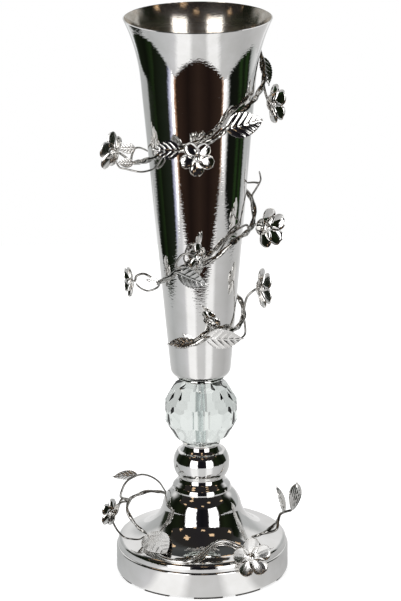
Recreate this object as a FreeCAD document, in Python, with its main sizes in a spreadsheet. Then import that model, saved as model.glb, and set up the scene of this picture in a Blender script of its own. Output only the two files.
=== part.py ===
"""Trumpet vase: a spun cup on a cut crystal ball and a turned stem, standing on a bell shaped foot.

A threaded rod pulls the whole stack together. A wire vine with stamped leaves and five-petal
flowers winds three turns round the cup, and a second one lies round the bell of the foot.
Millimetres, +Z up. The origin is the middle of the foot, on the table. Azimuth 0 is the front, -Y,
and azimuths grow to the right, towards +X.
"""
import FreeCAD, Part
import math
import os

import Sketcher

doc = FreeCAD.newDocument("trumpet_vase")
V = FreeCAD.Vector

# Driving sizes, in millimetres
DRIVING = [
    ("sheet_thickness", 1.0, "wall of the spun cup, bell and skirt"),
    ("fit_gap", 0.3, "clearance round the rod, the plate and the gasket"),
    ("wire_gap", 0.25, "air between the vine and the metal that it hugs"),
    # foot
    ("pad_thickness", 1.5, "stick-on foot pads"),
    ("pad_length", 24.0, "length of a pad along the edge of the foot"),
    ("pad_width", 4.5, "width of a pad"),
    ("skirt_radius", 72.0, "outside of the foot"),
    ("skirt_height", 21.6, "height of the straight skirt"),
    ("skirt_corner", 1.6, "outside radius of the skirt's two edges"),
    ("skirt_flange", 14.0, "inward flange that the bell stands on"),
    ("skirt_hem", 5.5, "inward hem that the pads are stuck to"),
    ("brim_step", 1.4, "how far the bell's brim stands inside the skirt"),
    ("brim_lip", 2.6, "straight lip of the bell's brim"),
    ("brim_round", 4.8, "rolled edge between lip and flare"),
    ("bell_height", 48.4, "from the skirt to the top of the bell"),
    ("bell_shoulder", 33.4, "radius where the flare turns into the dome"),
    ("bell_crown", 24.8, "radius of the flat top of the bell"),
    ("plate_gap", 6.0, "air between the ballast plate and the skirt's wall"),
    ("plate_thickness", 6.0, "ballast plate"),
    # turned stem
    ("neck_height", 11.3, "ogee between bell and knop"),
    ("neck_edge", 1.3, "square edge under the ogee"),
    ("waist_radius", 19.4, "narrowest place between neck and knop"),
    ("knop_height", 23.0, "round knop"),
    ("knop_radius", 23.5, "widest place of the knop"),
    ("knop_shoulder", 20.4, "top edge of the knop"),
    ("collar_height", 7.2, "hollow collar above the knop, under the ball"),
    ("collar_foot", 17.3, "bottom radius of the collar"),
    ("collar_throat", 15.0, "hollow of the collar"),
    ("collar_lip", 15.9, "lip that the ball stands on"),
    # ball and cup seat
    ("ball_radius", 30.0, "to the facets' corners at the equator"),
    ("ball_reach", 33.0, "from the middle to where the poles would be"),
    ("ball_flat", 28.0, "from the middle to the ground flats"),
    ("seat_height", 2.2, "ring between ball and cup"),
    ("seat_top", 20.2, "top radius of the seat ring"),
    ("seat_bottom", 18.6, "bottom radius of the seat ring"),
    # cup
    ("cup_height", 301.5, "from the outside of its floor to the rim"),
    ("cup_floor", 18.5, "radius of the flat floor"),
    ("cup_heel", 25.2, "radius where the rounded bottom meets the cone"),
    ("heel_height", 8.5, "height of the rounded bottom"),
    ("cup_throat", 46.4, "radius where the cone turns into the flare"),
    ("flare_height", 51.2, "height of the flared mouth"),
    ("rim_radius", 60.0, "outside of the rim"),
    # fasteners
    ("rod_radius", 3.0, "M6 tie rod"),
    ("rod_spare", 3.0, "thread that stands out of each nut"),
    ("nut_across", 10.0, "M6 nut across its flats"),
    ("nut_height", 5.0, "M6 nut"),
    ("washer_radius", 9.0, "M6 wide washer"),
    ("washer_thickness", 1.6, "M6 wide washer"),
    ("gasket_radius", 12.0, "rubber gasket inside the cup"),
    ("gasket_thickness", 2.0, "rubber gasket inside the cup"),
    # vine
    ("stem_radius", 2.1, "thick twisted stem wire of the cup"),
    ("foot_wire_radius", 1.5, "stem wire of the foot"),
    ("twig_radius", 0.75, "thin twigs and tendrils"),
    ("vine_reach", 30.0, "how far the furthest flower stands out"),
    ("leaf_length", 25.0, "ordinary leaf"),
    ("leaf_width", 14.5, "ordinary leaf"),
    ("leaf_thickness", 0.6, "stamped leaf and petal"),
    ("flower_radius", 14.0, "ordinary flower, middle to petal tip"),
    ("petal_width", 11.6, "ordinary petal"),
    ("bead_radius", 2.6, "bead in the middle of a flower"),
]

sheet = doc.addObject("Spreadsheet::Sheet", "sizes")
for row, (alias, value, meaning) in enumerate(DRIVING, start=1):
    sheet.set(f"A{row}", alias)
    sheet.set(f"B{row}", str(value))
    sheet.set(f"C{row}", meaning)
    sheet.setAlias(f"B{row}", alias)
doc.recompute()


class Size:
    """A length that carries its own formula, so that a sketch or a primitive can be bound to it."""

    def __init__(self, value, formula):
        self.value, self.formula = float(value), formula

    def joined(self, other, sign, value):
        formula = other.formula if isinstance(other, Size) else repr(float(other))
        return Size(value, f"({self.formula} {sign} {formula})")

    def __float__(self):
        return self.value

    def __add__(self, other):
        return self.joined(other, "+", self.value + float(other))

    def __sub__(self, other):
        return self.joined(other, "-", self.value - float(other))

    def __mul__(self, share):
        return self.joined(share, "*", self.value * float(share))

    def __truediv__(self, share):
        return self.joined(share, "/", self.value / float(share))


size = {alias: Size(sheet.get(alias), f"sizes.{alias}") for alias, _, _ in DRIVING}
nodes = {}


def named(piece, label):
    """Keeps a finished sub-part under the name that its file gets."""
    piece.Label = label
    nodes[label] = piece
    return piece


def bind(thing, name, length):
    thing.setExpression(name, length.formula)


# Heights of the stack, each from the piece below it
skirt_foot = size["pad_thickness"]
skirt_top = skirt_foot + size["skirt_height"]
bell_top = skirt_top + size["bell_height"]
neck_top = bell_top + size["neck_height"]
knop_top = neck_top + size["knop_height"]
collar_top = knop_top + size["collar_height"]
ball_middle = collar_top + size["ball_flat"]
ball_top = ball_middle + size["ball_flat"]
cup_bottom = ball_top + size["seat_height"]
cup_inside = cup_bottom + size["sheet_thickness"]
rim_height = cup_bottom + size["cup_height"]
throat_height = rim_height - size["flare_height"]
plate_top = skirt_top - size["sheet_thickness"]
plate_bottom = plate_top - size["plate_thickness"]
brim_radius = size["skirt_radius"] - size["brim_step"]
bore_radius = size["rod_radius"] + size["fit_gap"]
plate_radius = size["skirt_radius"] - size["sheet_thickness"] - size["plate_gap"]


# Outlines. A corner is (radius, height), and a curve is a row of chords from corner to corner.
def curve(start, finish, shares):
    """The corners along a curve, as shares of its run and its rise, without its two ends."""
    return [(start[0] + (finish[0] - start[0]) * run, start[1] + (finish[1] - start[1]) * rise)
            for run, rise in shares]


def outline(owner, name, corners, closed, plane=None):
    """Draws the edges between corners that are all bound to the sizes."""
    if plane is None:
        sketch = doc.addObject("Sketcher::SketchObject", name)
        sketch.Placement.Rotation = FreeCAD.Rotation(V(1, 0, 0), 90)
    else:
        sketch = owner.newObject("Sketcher::SketchObject", name)
        sketch.AttachmentSupport = (plane, [""])
        sketch.MapMode = "FlatFace"
    places = [V(float(radius), float(height), 0) for radius, height in corners]
    ends = places[1:] + (places[:1] if closed else [])
    for start, finish in zip(places, ends):
        sketch.addGeometry(Part.LineSegment(start, finish), False)
    ties, lengths = [], []
    for edge in range(len(ends)):
        if edge + 1 < len(ends) or closed:
            ties.append(Sketcher.Constraint("Coincident", edge, 2, (edge + 1) % len(ends), 1))
    for index, corner in enumerate(corners):
        edge, end = (index, 1) if index < len(ends) else (index - 1, 2)
        for kind, length in zip(("DistanceX", "DistanceY"), corner):
            lengths.append((len(ties), length))
            ties.append(Sketcher.Constraint(kind, -1, 1, edge, end, float(length)))
    sketch.addConstraint(ties)
    for number, length in lengths:
        bind(sketch, f"Constraints[{number}]", length)
    return sketch


def plane_of(body, role):
    return next(feature for feature in body.Origin.OriginFeatures if feature.Role == role)


def turned_piece(label, corners):
    """A solid turned on the lathe from a closed outline."""
    body = doc.addObject("PartDesign::Body", label)
    sketch = outline(body, label + "_outline", corners, True, plane_of(body, "XZ_Plane"))
    turn = body.newObject("PartDesign::Revolution", label + "_turn")
    turn.Profile = sketch
    turn.ReferenceAxis = (sketch, ["V_Axis"])
    turn.Angle = 360
    return named(body, label)


def spun_piece(label, corners):
    """A shell spun from sheet. The corners run up its outer face, and the wall lies inside them."""
    sketch = outline(None, label + "_face", corners, False)
    wall = doc.addObject("Part::Offset2D", label + "_wall")
    wall.Source = sketch
    bind(wall, "Value", size["sheet_thickness"])
    wall.Mode = "Skin"
    wall.Join = "Intersection"
    wall.Fill = True
    spin = doc.addObject("Part::Revolution", label)
    spin.Source = wall
    spin.Axis = V(0, 0, 1)
    spin.Base = V(0, 0, 0)
    spin.Angle = 360
    spin.Solid = True
    return named(spin, label)


def disc(label, radius, bottom, height):
    """A round plate or washer with a hole for the rod."""
    return turned_piece(label, [
        (bore_radius, bottom), (radius, bottom), (radius, bottom + height), (bore_radius, bottom + height)])


# Curves as (share of the run, share of the rise)
ROLL_SHARES = [(0.13, 0.50), (0.50, 0.87)]
BELL_FLARE_SHARES = [(0.264, 0.061), (0.508, 0.204), (0.720, 0.416), (0.889, 0.686)]
BELL_DOME_SHARES = [(0.118, 0.283), (0.332, 0.549), (0.627, 0.792)]
HEEL_SHARES = [(0.53, 0.19), (0.89, 0.55)]
MOUTH_SHARES = [(0.091, 0.207), (0.239, 0.411), (0.440, 0.612), (0.693, 0.809)]
OGEE_SHARES = [(0.16, 0.276), (0.50, 0.50), (0.84, 0.724)]
# Radius as a share of the knop's, height as a share of the knop's
KNOP_SHARES = [(0.918, 0.149), (0.978, 0.310), (1.0, 0.48), (0.993, 0.652), (0.948, 0.820)]
# Hollow of the collar, as shares of its foot's run to the throat and of its height
COLLAR_SHARES = [(0.0, 0.16), (0.67, 0.40), (1.0, 0.76)]
FLARE_TOP_SHARE = 0.672


# Turned and spun pieces of the foot and the stem
def make_skirt():
    corner, radius = size["skirt_corner"], size["skirt_radius"]
    return spun_piece("base_skirt", [
        (radius - size["skirt_hem"], skirt_foot), (radius - corner, skirt_foot),
        (radius, skirt_foot + corner), (radius, skirt_top - corner),
        (radius - corner, skirt_top), (radius - size["skirt_flange"], skirt_top)])


def bell_outline():
    """Lip, rolled edge, hollow flare, round shoulder and flat crown of the bell, from the skirt up."""
    lip = (brim_radius, skirt_top + size["brim_lip"])
    roll = (brim_radius - size["brim_round"], lip[1] + size["brim_round"])
    shoulder = (size["bell_shoulder"], skirt_top + size["bell_height"] * FLARE_TOP_SHARE)
    crown = (size["bell_crown"], bell_top)
    return ([(brim_radius, skirt_top), lip] + curve(lip, roll, ROLL_SHARES)
            + [roll] + curve(roll, shoulder, BELL_FLARE_SHARES)
            + [shoulder] + curve(shoulder, crown, BELL_DOME_SHARES) + [crown, (bore_radius, bell_top)])


def cup_outline():
    """Flat floor, rounded bottom, long cone and flared mouth of the cup."""
    floor = (size["cup_floor"], cup_bottom)
    heel = (size["cup_heel"], cup_bottom + size["heel_height"])
    throat = (size["cup_throat"], throat_height)
    rim = (size["rim_radius"], rim_height)
    return ([(bore_radius, cup_bottom), floor] + curve(floor, heel, HEEL_SHARES)
            + [heel, throat] + curve(throat, rim, MOUTH_SHARES) + [rim])


def make_neck():
    edge = (size["bell_crown"], bell_top + size["neck_edge"])
    waist = (size["waist_radius"], neck_top)
    return turned_piece("stem_neck", [
        (bore_radius, bell_top), (size["bell_crown"], bell_top), edge,
        *curve(edge, waist, OGEE_SHARES), waist, (bore_radius, neck_top)])


def make_knop():
    """A round knop with a hollow collar on top, that the ball stands on."""
    bulge = [(size["knop_radius"] * out, neck_top + size["knop_height"] * rise) for out, rise in KNOP_SHARES]
    foot = size["collar_foot"]
    hollow = [(foot - (foot - size["collar_throat"]) * run, knop_top + size["collar_height"] * rise)
              for run, rise in COLLAR_SHARES]
    return turned_piece("stem_knop", [
        (bore_radius, neck_top), (size["waist_radius"], neck_top), *bulge,
        (size["knop_shoulder"], knop_top - size["neck_edge"] * 0.5), (foot, knop_top), *hollow,
        (size["collar_lip"], collar_top), (bore_radius, collar_top)])


def make_seat_ring():
    return turned_piece("cup_seat_ring", [
        (bore_radius, ball_top), (size["seat_bottom"], ball_top),
        (size["seat_top"], cup_bottom), (bore_radius, cup_bottom)])


def hexagon_nut(label, bottom):
    """An M6 nut: a hexagon with a hole for the thread."""
    block = doc.addObject("Part::Prism", label + "_block")
    block.Polygon = 6
    bind(block, "Circumradius", size["nut_across"] / math.sqrt(3))
    bind(block, "Height", size["nut_height"])
    thread = doc.addObject("Part::Cylinder", label + "_thread")
    bind(thread, "Radius", size["rod_radius"] + size["fit_gap"] * THREAD_GAP_SHARE)
    bind(thread, "Height", size["nut_height"])
    for piece in (block, thread):
        bind(piece, "Placement.Base.z", bottom)
    nut = doc.addObject("Part::Cut", label)
    nut.Base, nut.Tool = block, thread
    return named(nut, label)


THREAD_GAP_SHARE = 0.2


def make_rod():
    low = plate_bottom - size["washer_thickness"] - size["nut_height"] - size["rod_spare"]
    high = (cup_inside + size["gasket_thickness"] + size["washer_thickness"]
            + size["nut_height"] + size["rod_spare"])
    rod = doc.addObject("Part::Cylinder", "tie_rod")
    bind(rod, "Radius", size["rod_radius"])
    bind(rod, "Height", high - low)
    bind(rod, "Placement.Base.z", low)
    return named(rod, "tie_rod")


make_skirt()
spun_piece("base_bell", bell_outline())
disc("ballast_plate", plate_radius, plate_bottom, size["plate_thickness"])
disc("base_washer", size["washer_radius"],
     plate_bottom - size["washer_thickness"], size["washer_thickness"])
hexagon_nut("base_nut", plate_bottom - size["washer_thickness"] - size["nut_height"])
make_neck()
make_knop()
make_seat_ring()
spun_piece("trumpet_cup", cup_outline())
disc("cup_gasket", size["gasket_radius"], cup_inside, size["gasket_thickness"])
washer_seat = cup_inside + size["gasket_thickness"]
disc("cup_washer", size["washer_radius"], washer_seat, size["washer_thickness"])
hexagon_nut("cup_nut", washer_seat + size["washer_thickness"])
make_rod()


# Pieces that are shaped facet by facet
def feature(label, shape):
    """Keeps a shape that was worked out from the sheet's sizes."""
    piece = doc.addObject("Part::Feature", label)
    piece.Shape = shape
    return named(piece, label)


def number(name):
    return size[name].value


def polar(azimuth, radius, height):
    """The place at an azimuth in degrees from the front."""
    angle = math.radians(azimuth)
    return V(radius * math.sin(angle), -radius * math.cos(angle), height)


def face_of(points):
    return Part.Face(Part.makePolygon(points + points[:1]))


def patch(corners):
    """A flat four-cornered face, or two triangles where the corners aren't level."""
    first, second, third, fourth = corners
    normal = (second - first).cross(third - first)
    span = third.distanceToPoint(first)
    if normal.Length > 0 and abs((fourth - first).dot(normal.normalize())) < span * LEVEL_SHARE:
        return [face_of(corners)]
    return [face_of([first, second, third]), face_of([first, third, fourth])]


LEVEL_SHARE = 1e-8


def skin(rings):
    """Closes a row of rings, with as many corners each, into one solid."""
    faces = [face_of(rings[0]), face_of(rings[-1])]
    for near, far in zip(rings, rings[1:]):
        for low, high in zip(range(len(near)), list(range(1, len(near))) + [0]):
            faces += patch([near[low], near[high], far[high], far[low]])
    solid = Part.Solid(Part.Shell(faces))
    if solid.Volume < 0:
        solid.reverse()
    return solid


def limb(path, radii, sides=6):
    """A wire through the places of a path, with a radius at each of them."""
    steps = [(b - a).normalize() for a, b in zip(path, path[1:])]
    ahead = [steps[0]] + [(a + b).normalize() for a, b in zip(steps, steps[1:])] + [steps[-1]]
    across = ahead[0].cross(V(0, 0, 1))
    rings = []
    for place, forward, radius in zip(path, ahead, radii):
        across = (across - forward * across.dot(forward)).normalize()
        lift = forward.cross(across)
        rings.append([
            place + across * (radius * math.cos(2 * math.pi * side / sides))
            + lift * (radius * math.sin(2 * math.pi * side / sides)) for side in range(sides)])
    return skin(rings)


def along(path, share):
    """The place at a share of the way along a path's places."""
    step = share * (len(path) - 1)
    index = min(int(step), len(path) - 2)
    return path[index] + (path[index + 1] - path[index]) * (step - index)


def biggest(shape):
    return max(shape.Solids, key=lambda solid: solid.Volume)


def coped(shape):
    """Cuts a piece to every earlier piece of the vine that it meets, and keeps what stays whole."""
    for other in vine:
        if shape.BoundBox.intersect(other.BoundBox):
            shape = biggest(shape.cut(other))
    vine.append(shape)
    return shape


vine = []

# Foot pads, as shares of a full turn from the front
PAD_TURN_SHARES = (-0.189, -0.092, 0.011, 0.092, 0.200, 0.306, 0.408, 0.508, 0.608, 0.708)


def make_pads():
    """Hand-stuck pads under the hem, not quite evenly spaced."""
    outer = number("skirt_radius") - number("skirt_corner")
    spread = math.degrees(number("pad_length") / outer)
    pads = []
    for share in PAD_TURN_SHARES:
        pad = Part.makeCylinder(outer, number("pad_thickness"), V(0, 0, 0), V(0, 0, 1), spread)
        pad = pad.cut(Part.makeCylinder(outer - number("pad_width"), number("pad_thickness")))
        pad.rotate(V(0, 0, 0), V(0, 0, 1), 360 * share - 90 - spread / 2)
        pads.append(pad)
    feature("foot_pads", Part.makeCompound(pads))


make_pads()

# Rows of facets on the ball: slope from the equator as a share of a right angle, turn in facets
BALL_ROW_SHARES = ((0.0, 0.0), (0.289, 0.5), (-0.289, 0.5), (0.556, 0.0), (-0.556, 0.0))
TIP_CUT_SHARE = 0.97


def make_ball(facets=12):
    """Each row of facets is ground as a pyramid, and the ball is what all the rows leave."""
    radius, reach, flat = number("ball_radius"), number("ball_reach"), number("ball_flat")
    middle = ball_middle.value
    corner = math.cos(math.pi / facets)
    ball = Part.makeCylinder(radius * 2, flat * 2, V(0, 0, middle - flat))
    for slope, turn in BALL_ROW_SHARES:
        out, up = math.cos(slope * math.pi / 2), math.sin(slope * math.pi / 2)
        touch = math.hypot(radius * out, reach * up) * corner
        levels = [-flat - radius, flat + radius]
        if up:
            tip = touch / up * TIP_CUT_SHARE
            levels = [max(levels[0], tip), levels[1]] if up < 0 else [levels[0], min(levels[1], tip)]
        widths = [(touch - level * up) / out / corner for level in levels]
        pyramid = skin([[
            polar(360 * (side + turn + 0.5) / facets, width, middle + level) for side in range(facets)]
            for level, width in zip(levels, widths)])
        ball = ball.common(pyramid)
    bore = Part.makeCylinder(bore_radius.value, flat * 2, V(0, 0, middle - flat))
    feature("crystal_ball", ball.cut(bore))


make_ball()


# Places on the cup and the bell that the vines follow
def crossing(corners, given, wanted, value):
    """Follows an outline to where one coordinate has a value, and gives the other one there."""
    for near, far in zip(corners, corners[1:]):
        low, high = float(near[given]), float(far[given])
        if low != high and min(low, high) <= value <= max(low, high):
            share = (value - low) / (high - low)
            return float(near[wanted]) + share * (float(far[wanted]) - float(near[wanted]))
    return float(corners[-1][wanted])


def cup_radius(height):
    return crossing(cup_outline()[1:], 1, 0, height)


def bell_surface(radius):
    """Height of the bell's outer face at a distance from the axis."""
    return crossing(bell_outline()[1:], 0, 1, min(radius, brim_radius.value))


def by_cup(azimuth, rise, reach, thick="stem_radius"):
    """A place by the cup: rise is a share of its height, reach a share of the vine's reach."""
    height = cup_bottom.value + rise * number("cup_height")
    return polar(azimuth, cup_radius(height) + number(thick) * HUG_SHARE + number("wire_gap")
                 + reach * number("vine_reach"), height)


def by_bell(azimuth, spread, lift, thick="foot_wire_radius"):
    """A place by the bell: spread is a share of the brim's radius, lift a share of the bell's height."""
    radius = spread * brim_radius.value
    height = bell_surface(radius) + number(thick) * HUG_SHARE + number("wire_gap")
    return polar(azimuth, radius, height + lift * number("bell_height"))


HUG_SHARE = 1.25

# Cup vine. Each place is azimuth in degrees, share of the cup's height, share of the vine's reach.
UPPER_STEM_SHARES = [
    (150, 0.915, 0.00), (136, 0.914, 0.01), (122, 0.905, 0.03), (110, 0.887, 0.06), (102, 0.860, 0.11),
    (95, 0.832, 0.13), (88, 0.813, 0.08), (80, 0.801, 0.01), (70, 0.796, 0.03), (60, 0.789, 0.04),
    (50, 0.778, 0.05), (38, 0.766, 0.07), (27, 0.736, 0.11), (17, 0.714, 0.11), (7, 0.700, 0.09),
    (-4, 0.688, 0.06), (-17, 0.677, 0.03), (-31, 0.666, 0.03), (-46, 0.650, 0.05), (-60, 0.632, 0.12),
    (-73, 0.619, 0.22), (-82, 0.610, 0.34), (-86, 0.604, 0.42)]
MIDDLE_STEM_SHARES = [
    (247, 0.612, 0.04), (232, 0.602, 0.01), (216, 0.588, 0.01), (200, 0.574, 0.01), (184, 0.561, 0.01),
    (168, 0.549, 0.01), (152, 0.537, 0.01), (136, 0.526, 0.01), (120, 0.514, 0.02), (106, 0.503, 0.04),
    (97, 0.486, 0.12), (89, 0.456, 0.17), (80, 0.428, 0.14), (66, 0.421, 0.10), (52, 0.416, 0.09),
    (38, 0.404, 0.09), (26, 0.386, 0.10), (15, 0.368, 0.10), (3, 0.355, 0.08), (-12, 0.344, 0.07),
    (-28, 0.331, 0.07), (-43, 0.309, 0.05), (-60, 0.287, 0.07), (-76, 0.272, 0.13)]
LOWER_STEM_SHARES = [
    (258, 0.262, 0.03), (240, 0.254, 0.01), (222, 0.246, 0.01), (204, 0.239, 0.01), (186, 0.231, 0.01),
    (168, 0.225, 0.01), (150, 0.220, 0.01), (132, 0.216, 0.01), (116, 0.212, 0.01), (105, 0.209, 0.03),
    (98, 0.194, 0.09), (92, 0.170, 0.13), (84, 0.156, 0.08), (71, 0.148, 0.04), (52, 0.150, 0.04),
    (34, 0.153, 0.05), (19, 0.150, 0.05), (6, 0.139, 0.05), (-8, 0.125, 0.04), (-24, 0.115, 0.04),
    (-42, 0.105, 0.04)]
# Foot vine. Each place is azimuth in degrees, share of the brim's radius, share of the bell's height.
LEFT_STEM_SHARES = [
    (-125, 0.49, 0.02), (-119, 0.53, 0.22), (-112, 0.593, 0.372), (-106, 0.648, 0.47), (-100, 0.704, 0.541),
    (-92, 0.827, 0.58), (-86, 0.868, 0.568), (-80, 0.899, 0.502), (-76, 0.878, 0.38), (-72, 0.807, 0.196),
    (-70, 0.725, 0.03), (-63, 0.70, 0.00)]
RIGHT_STEM_SHARES = [
    (56, 0.70, 0.00), (63, 0.729, 0.00), (66, 0.814, 0.12), (74, 0.887, 0.217), (80, 0.92, 0.30),
    (84, 0.935, 0.38)]
BACK_STEM_SHARES = [
    (228, 0.58, 0.00), (221, 0.62, 0.02), (214, 0.68, 0.07), (207, 0.73, 0.12), (200, 0.77, 0.15),
    (192, 0.78, 0.15), (184, 0.77, 0.11), (176, 0.73, 0.05), (168, 0.68, 0.01), (160, 0.64, 0.00)]
# How the stems swell and thin again at their knots
KNOT_SHARES = (1.0, 0.82, 1.0, 0.88, 1.08, 0.8)


def stem_radii(count, thick):
    """Radii of a gnarled stem, thinner towards both ends."""
    radii = []
    for index in range(count):
        end = min(index, count - 1 - index)
        taper = TAPER_SHARES[end] if end < len(TAPER_SHARES) else 1
        radii.append(number(thick) * taper * KNOT_SHARES[index % len(KNOT_SHARES)])
    return radii


TAPER_SHARES = (0.55, 0.8)
stems = {}


def make_stem(label, table, where, thick):
    stems[label] = [where(*row) for row in table]
    feature(label, coped(limb(stems[label], stem_radii(len(table), thick), 6)))


make_stem("cup_stem_upper", UPPER_STEM_SHARES, by_cup, "stem_radius")
make_stem("cup_stem_middle", MIDDLE_STEM_SHARES, by_cup, "stem_radius")
make_stem("cup_stem_lower", LOWER_STEM_SHARES, by_cup, "stem_radius")
make_stem("base_stem_left", LEFT_STEM_SHARES, by_bell, "foot_wire_radius")
make_stem("base_stem_right", RIGHT_STEM_SHARES, by_bell, "foot_wire_radius")
make_stem("base_stem_back", BACK_STEM_SHARES, by_bell, "foot_wire_radius")


def local(place, out, around, up):
    """A direction from its parts away from the axis, to the right round it, and up."""
    away = V(place.x, place.y, 0).normalize()
    return (away * out + V(-away.y, away.x, 0) * around + V(0, 0, up)).normalize()


def blade(base, forward, facing, length, width, stations, keel):
    """A stamped leaf, folded along its rib, or a petal, which has no fold."""
    side = forward.cross(facing).normalize()
    up = side.cross(forward).normalize()
    thick = up * number("leaf_thickness")
    rings = []
    for ahead, spread, rise in stations:
        rib = base + forward * (ahead * length) + up * (rise * length)
        half = width * spread / 2
        left, right = (rib - side * way * half + up * (half * keel) for way in (1, -1))
        lower = [left, rib, right] if keel else [left, right]
        rings.append(lower + [corner + thick for corner in reversed(lower)])
    return skin(rings)


# Share of the length, share of the width, share of the length that the blade bows up
LEAF_SHARES = [
    (0.00, 0.14, 0.00), (0.20, 0.60, 0.03), (0.45, 1.00, 0.07), (0.74, 0.70, 0.09), (1.00, 0.06, 0.05)]
PETAL_SHARES = [(0.05, 0.30, 0.02), (0.40, 0.84, 0.12), (0.78, 1.00, 0.22), (1.00, 0.46, 0.23)]
LEAF_KEEL_SHARE = 0.22
BEAD_SHARES = [(0.45, 0.10), (1.00, 0.85), (0.60, 1.75)]


def make_leaf(label, carrier, share, scale, forward, facing):
    """A leaf on a carrier: (out, round, up) parts give where it points and where it looks."""
    base = along(stems[carrier], share)
    feature(label, coped(blade(
        base, local(base, *forward), local(base, *facing), number("leaf_length") * scale,
        number("leaf_width") * scale, LEAF_SHARES, LEAF_KEEL_SHARE)))


def bead(base, axis, across):
    lift = axis.cross(across)
    radius = number("bead_radius")
    return skin([[
        base + axis * (rise * radius)
        + across * (spread * radius * math.cos(math.pi * side / 3))
        + lift * (spread * radius * math.sin(math.pi * side / 3)) for side in range(6)]
        for spread, rise in BEAD_SHARES])


def make_flower(label, carrier, share, where, middle, facing, scale, bends=(), turn=0):
    """A flower on its stalk: five petals round a bead, at a place by the cup or the bell."""
    heart = where(*middle)
    axis = local(heart, *facing)
    flat = axis.cross(V(0, 0, 1)).normalize()
    radius = number("flower_radius") * scale
    spin = FreeCAD.Rotation(axis, 72)
    arm = FreeCAD.Rotation(axis, turn).multVec(flat)
    parts = [bead(heart, axis, flat)]
    for _ in range(5):
        parts.append(blade(heart, arm, axis, radius, number("petal_width") * scale, PETAL_SHARES, 0))
        arm = spin.multVec(arm)
    twig = number("twig_radius")
    stalk = [along(stems[carrier], share)] + [where(*bend) for bend in bends]
    stalk += [heart - axis * (twig * 3), heart + axis * (twig * 1.5)]
    parts.append(limb(stalk, [twig] * len(stalk), 4))
    feature(label, coped(parts[0].multiFuse(parts[1:])))


def make_twig(label, carrier, share, where, table):
    """A tendril that starts on a stem, with its thin end in the air or by another stem."""
    places = [along(stems[carrier], share)] + [where(*row, "twig_radius") for row in table]
    radii = [number("twig_radius") * (1 - TIP_SHARE * index / len(table)) for index in range(len(places))]
    stems[label] = places
    feature(label, coped(limb(places, radii, 4)))


TIP_SHARE = 0.35

# Tendrils and twigs: name, stem, share of the way along it, then their places as above
make_twig("cup_tendril_end_loop", "cup_stem_upper", 0.795, by_cup, [
    (-51, 0.616, 0.09), (-64, 0.599, 0.13), (-74, 0.591, 0.30), (-80, 0.596, 0.62), (-82, 0.600, 0.78),
    (-84, 0.618, 0.84), (-85, 0.630, 0.76)])
make_twig("cup_tendril_back_upper", "cup_stem_upper", 0.985, by_cup, [
    (-86, 0.628, 0.40), (-87, 0.645, 0.30), (-92, 0.644, 0.20), (-101, 0.634, 0.11), (-110, 0.622, 0.07),
    (-116, 0.612, 0.05)])
make_twig("cup_twig_fork", "cup_stem_middle", 0.47, by_cup, [
    (92, 0.506, 0.13), (90, 0.525, 0.20), (90, 0.543, 0.29), (89, 0.556, 0.32), (88, 0.579, 0.26)])
make_twig("cup_tendril_fork_arm", "cup_twig_fork", 0.62, by_cup, [
    (96, 0.542, 0.16), (103, 0.537, 0.05), (110, 0.533, 0.02)])
make_twig("cup_tendril_strand", "cup_stem_middle", 0.545, by_cup, [
    (74, 0.437, 0.10), (60, 0.440, 0.06), (46, 0.432, 0.03), (34, 0.408, 0.02), (24, 0.383, 0.03)])
make_twig("cup_tendril_left_loop", "cup_stem_middle", 0.96, by_cup, [
    (-73, 0.263, 0.13), (-78, 0.252, 0.35), (-82, 0.254, 0.50), (-84, 0.263, 0.62), (-84, 0.270, 0.66)])
make_twig("cup_tendril_low", "cup_stem_lower", 0.555, by_cup, [
    (88, 0.145, 0.24), (84, 0.122, 0.27), (78, 0.114, 0.20), (70, 0.115, 0.15), (58, 0.122, 0.10),
    (48, 0.128, 0.08)])
make_twig("base_tendril_high_loop", "base_stem_left", 0.50, by_bell, [
    (-88, 0.959, 0.68), (-90, 0.946, 0.785), (-93, 0.907, 0.876), (-98, 0.844, 0.911), (-105, 0.748, 0.882),
    (-112, 0.659, 0.740), (-120, 0.589, 0.519), (-128, 0.574, 0.324), (-134, 0.56, 0.15),
    (-138, 0.55, 0.00)])
make_twig("base_tendril_low_loop", "base_stem_left", 0.54, by_bell, [
    (-81, 0.98, 0.66), (-78, 1.08, 0.60), (-75, 1.10, 0.52), (-72, 1.098, 0.46), (-68, 1.068, 0.35),
    (-62, 1.027, 0.278), (-60, 0.963, 0.164), (-62, 0.84, 0.07), (-66, 0.75, 0.02)])
make_twig("base_wire_front", "base_stem_left", 0.97, by_bell, [
    (-50, 0.78, 0.00), (-38, 0.88, 0.00), (-28, 0.945, 0.00), (-19, 0.965, 0.00), (-11, 0.955, 0.00),
    (-5, 0.88, 0.00), (1, 0.77, 0.00), (10, 0.68, 0.01), (21, 0.655, 0.01), (30, 0.69, 0.00),
    (37, 0.77, 0.00), (43, 0.80, 0.00)])
make_twig("base_twig_right", "base_stem_right", 0.30, by_bell, [
    (70, 0.93, 0.20), (75, 0.935, 0.33), (78, 0.945, 0.41), (82, 0.983, 0.455), (86, 1.072, 0.52)])

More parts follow.
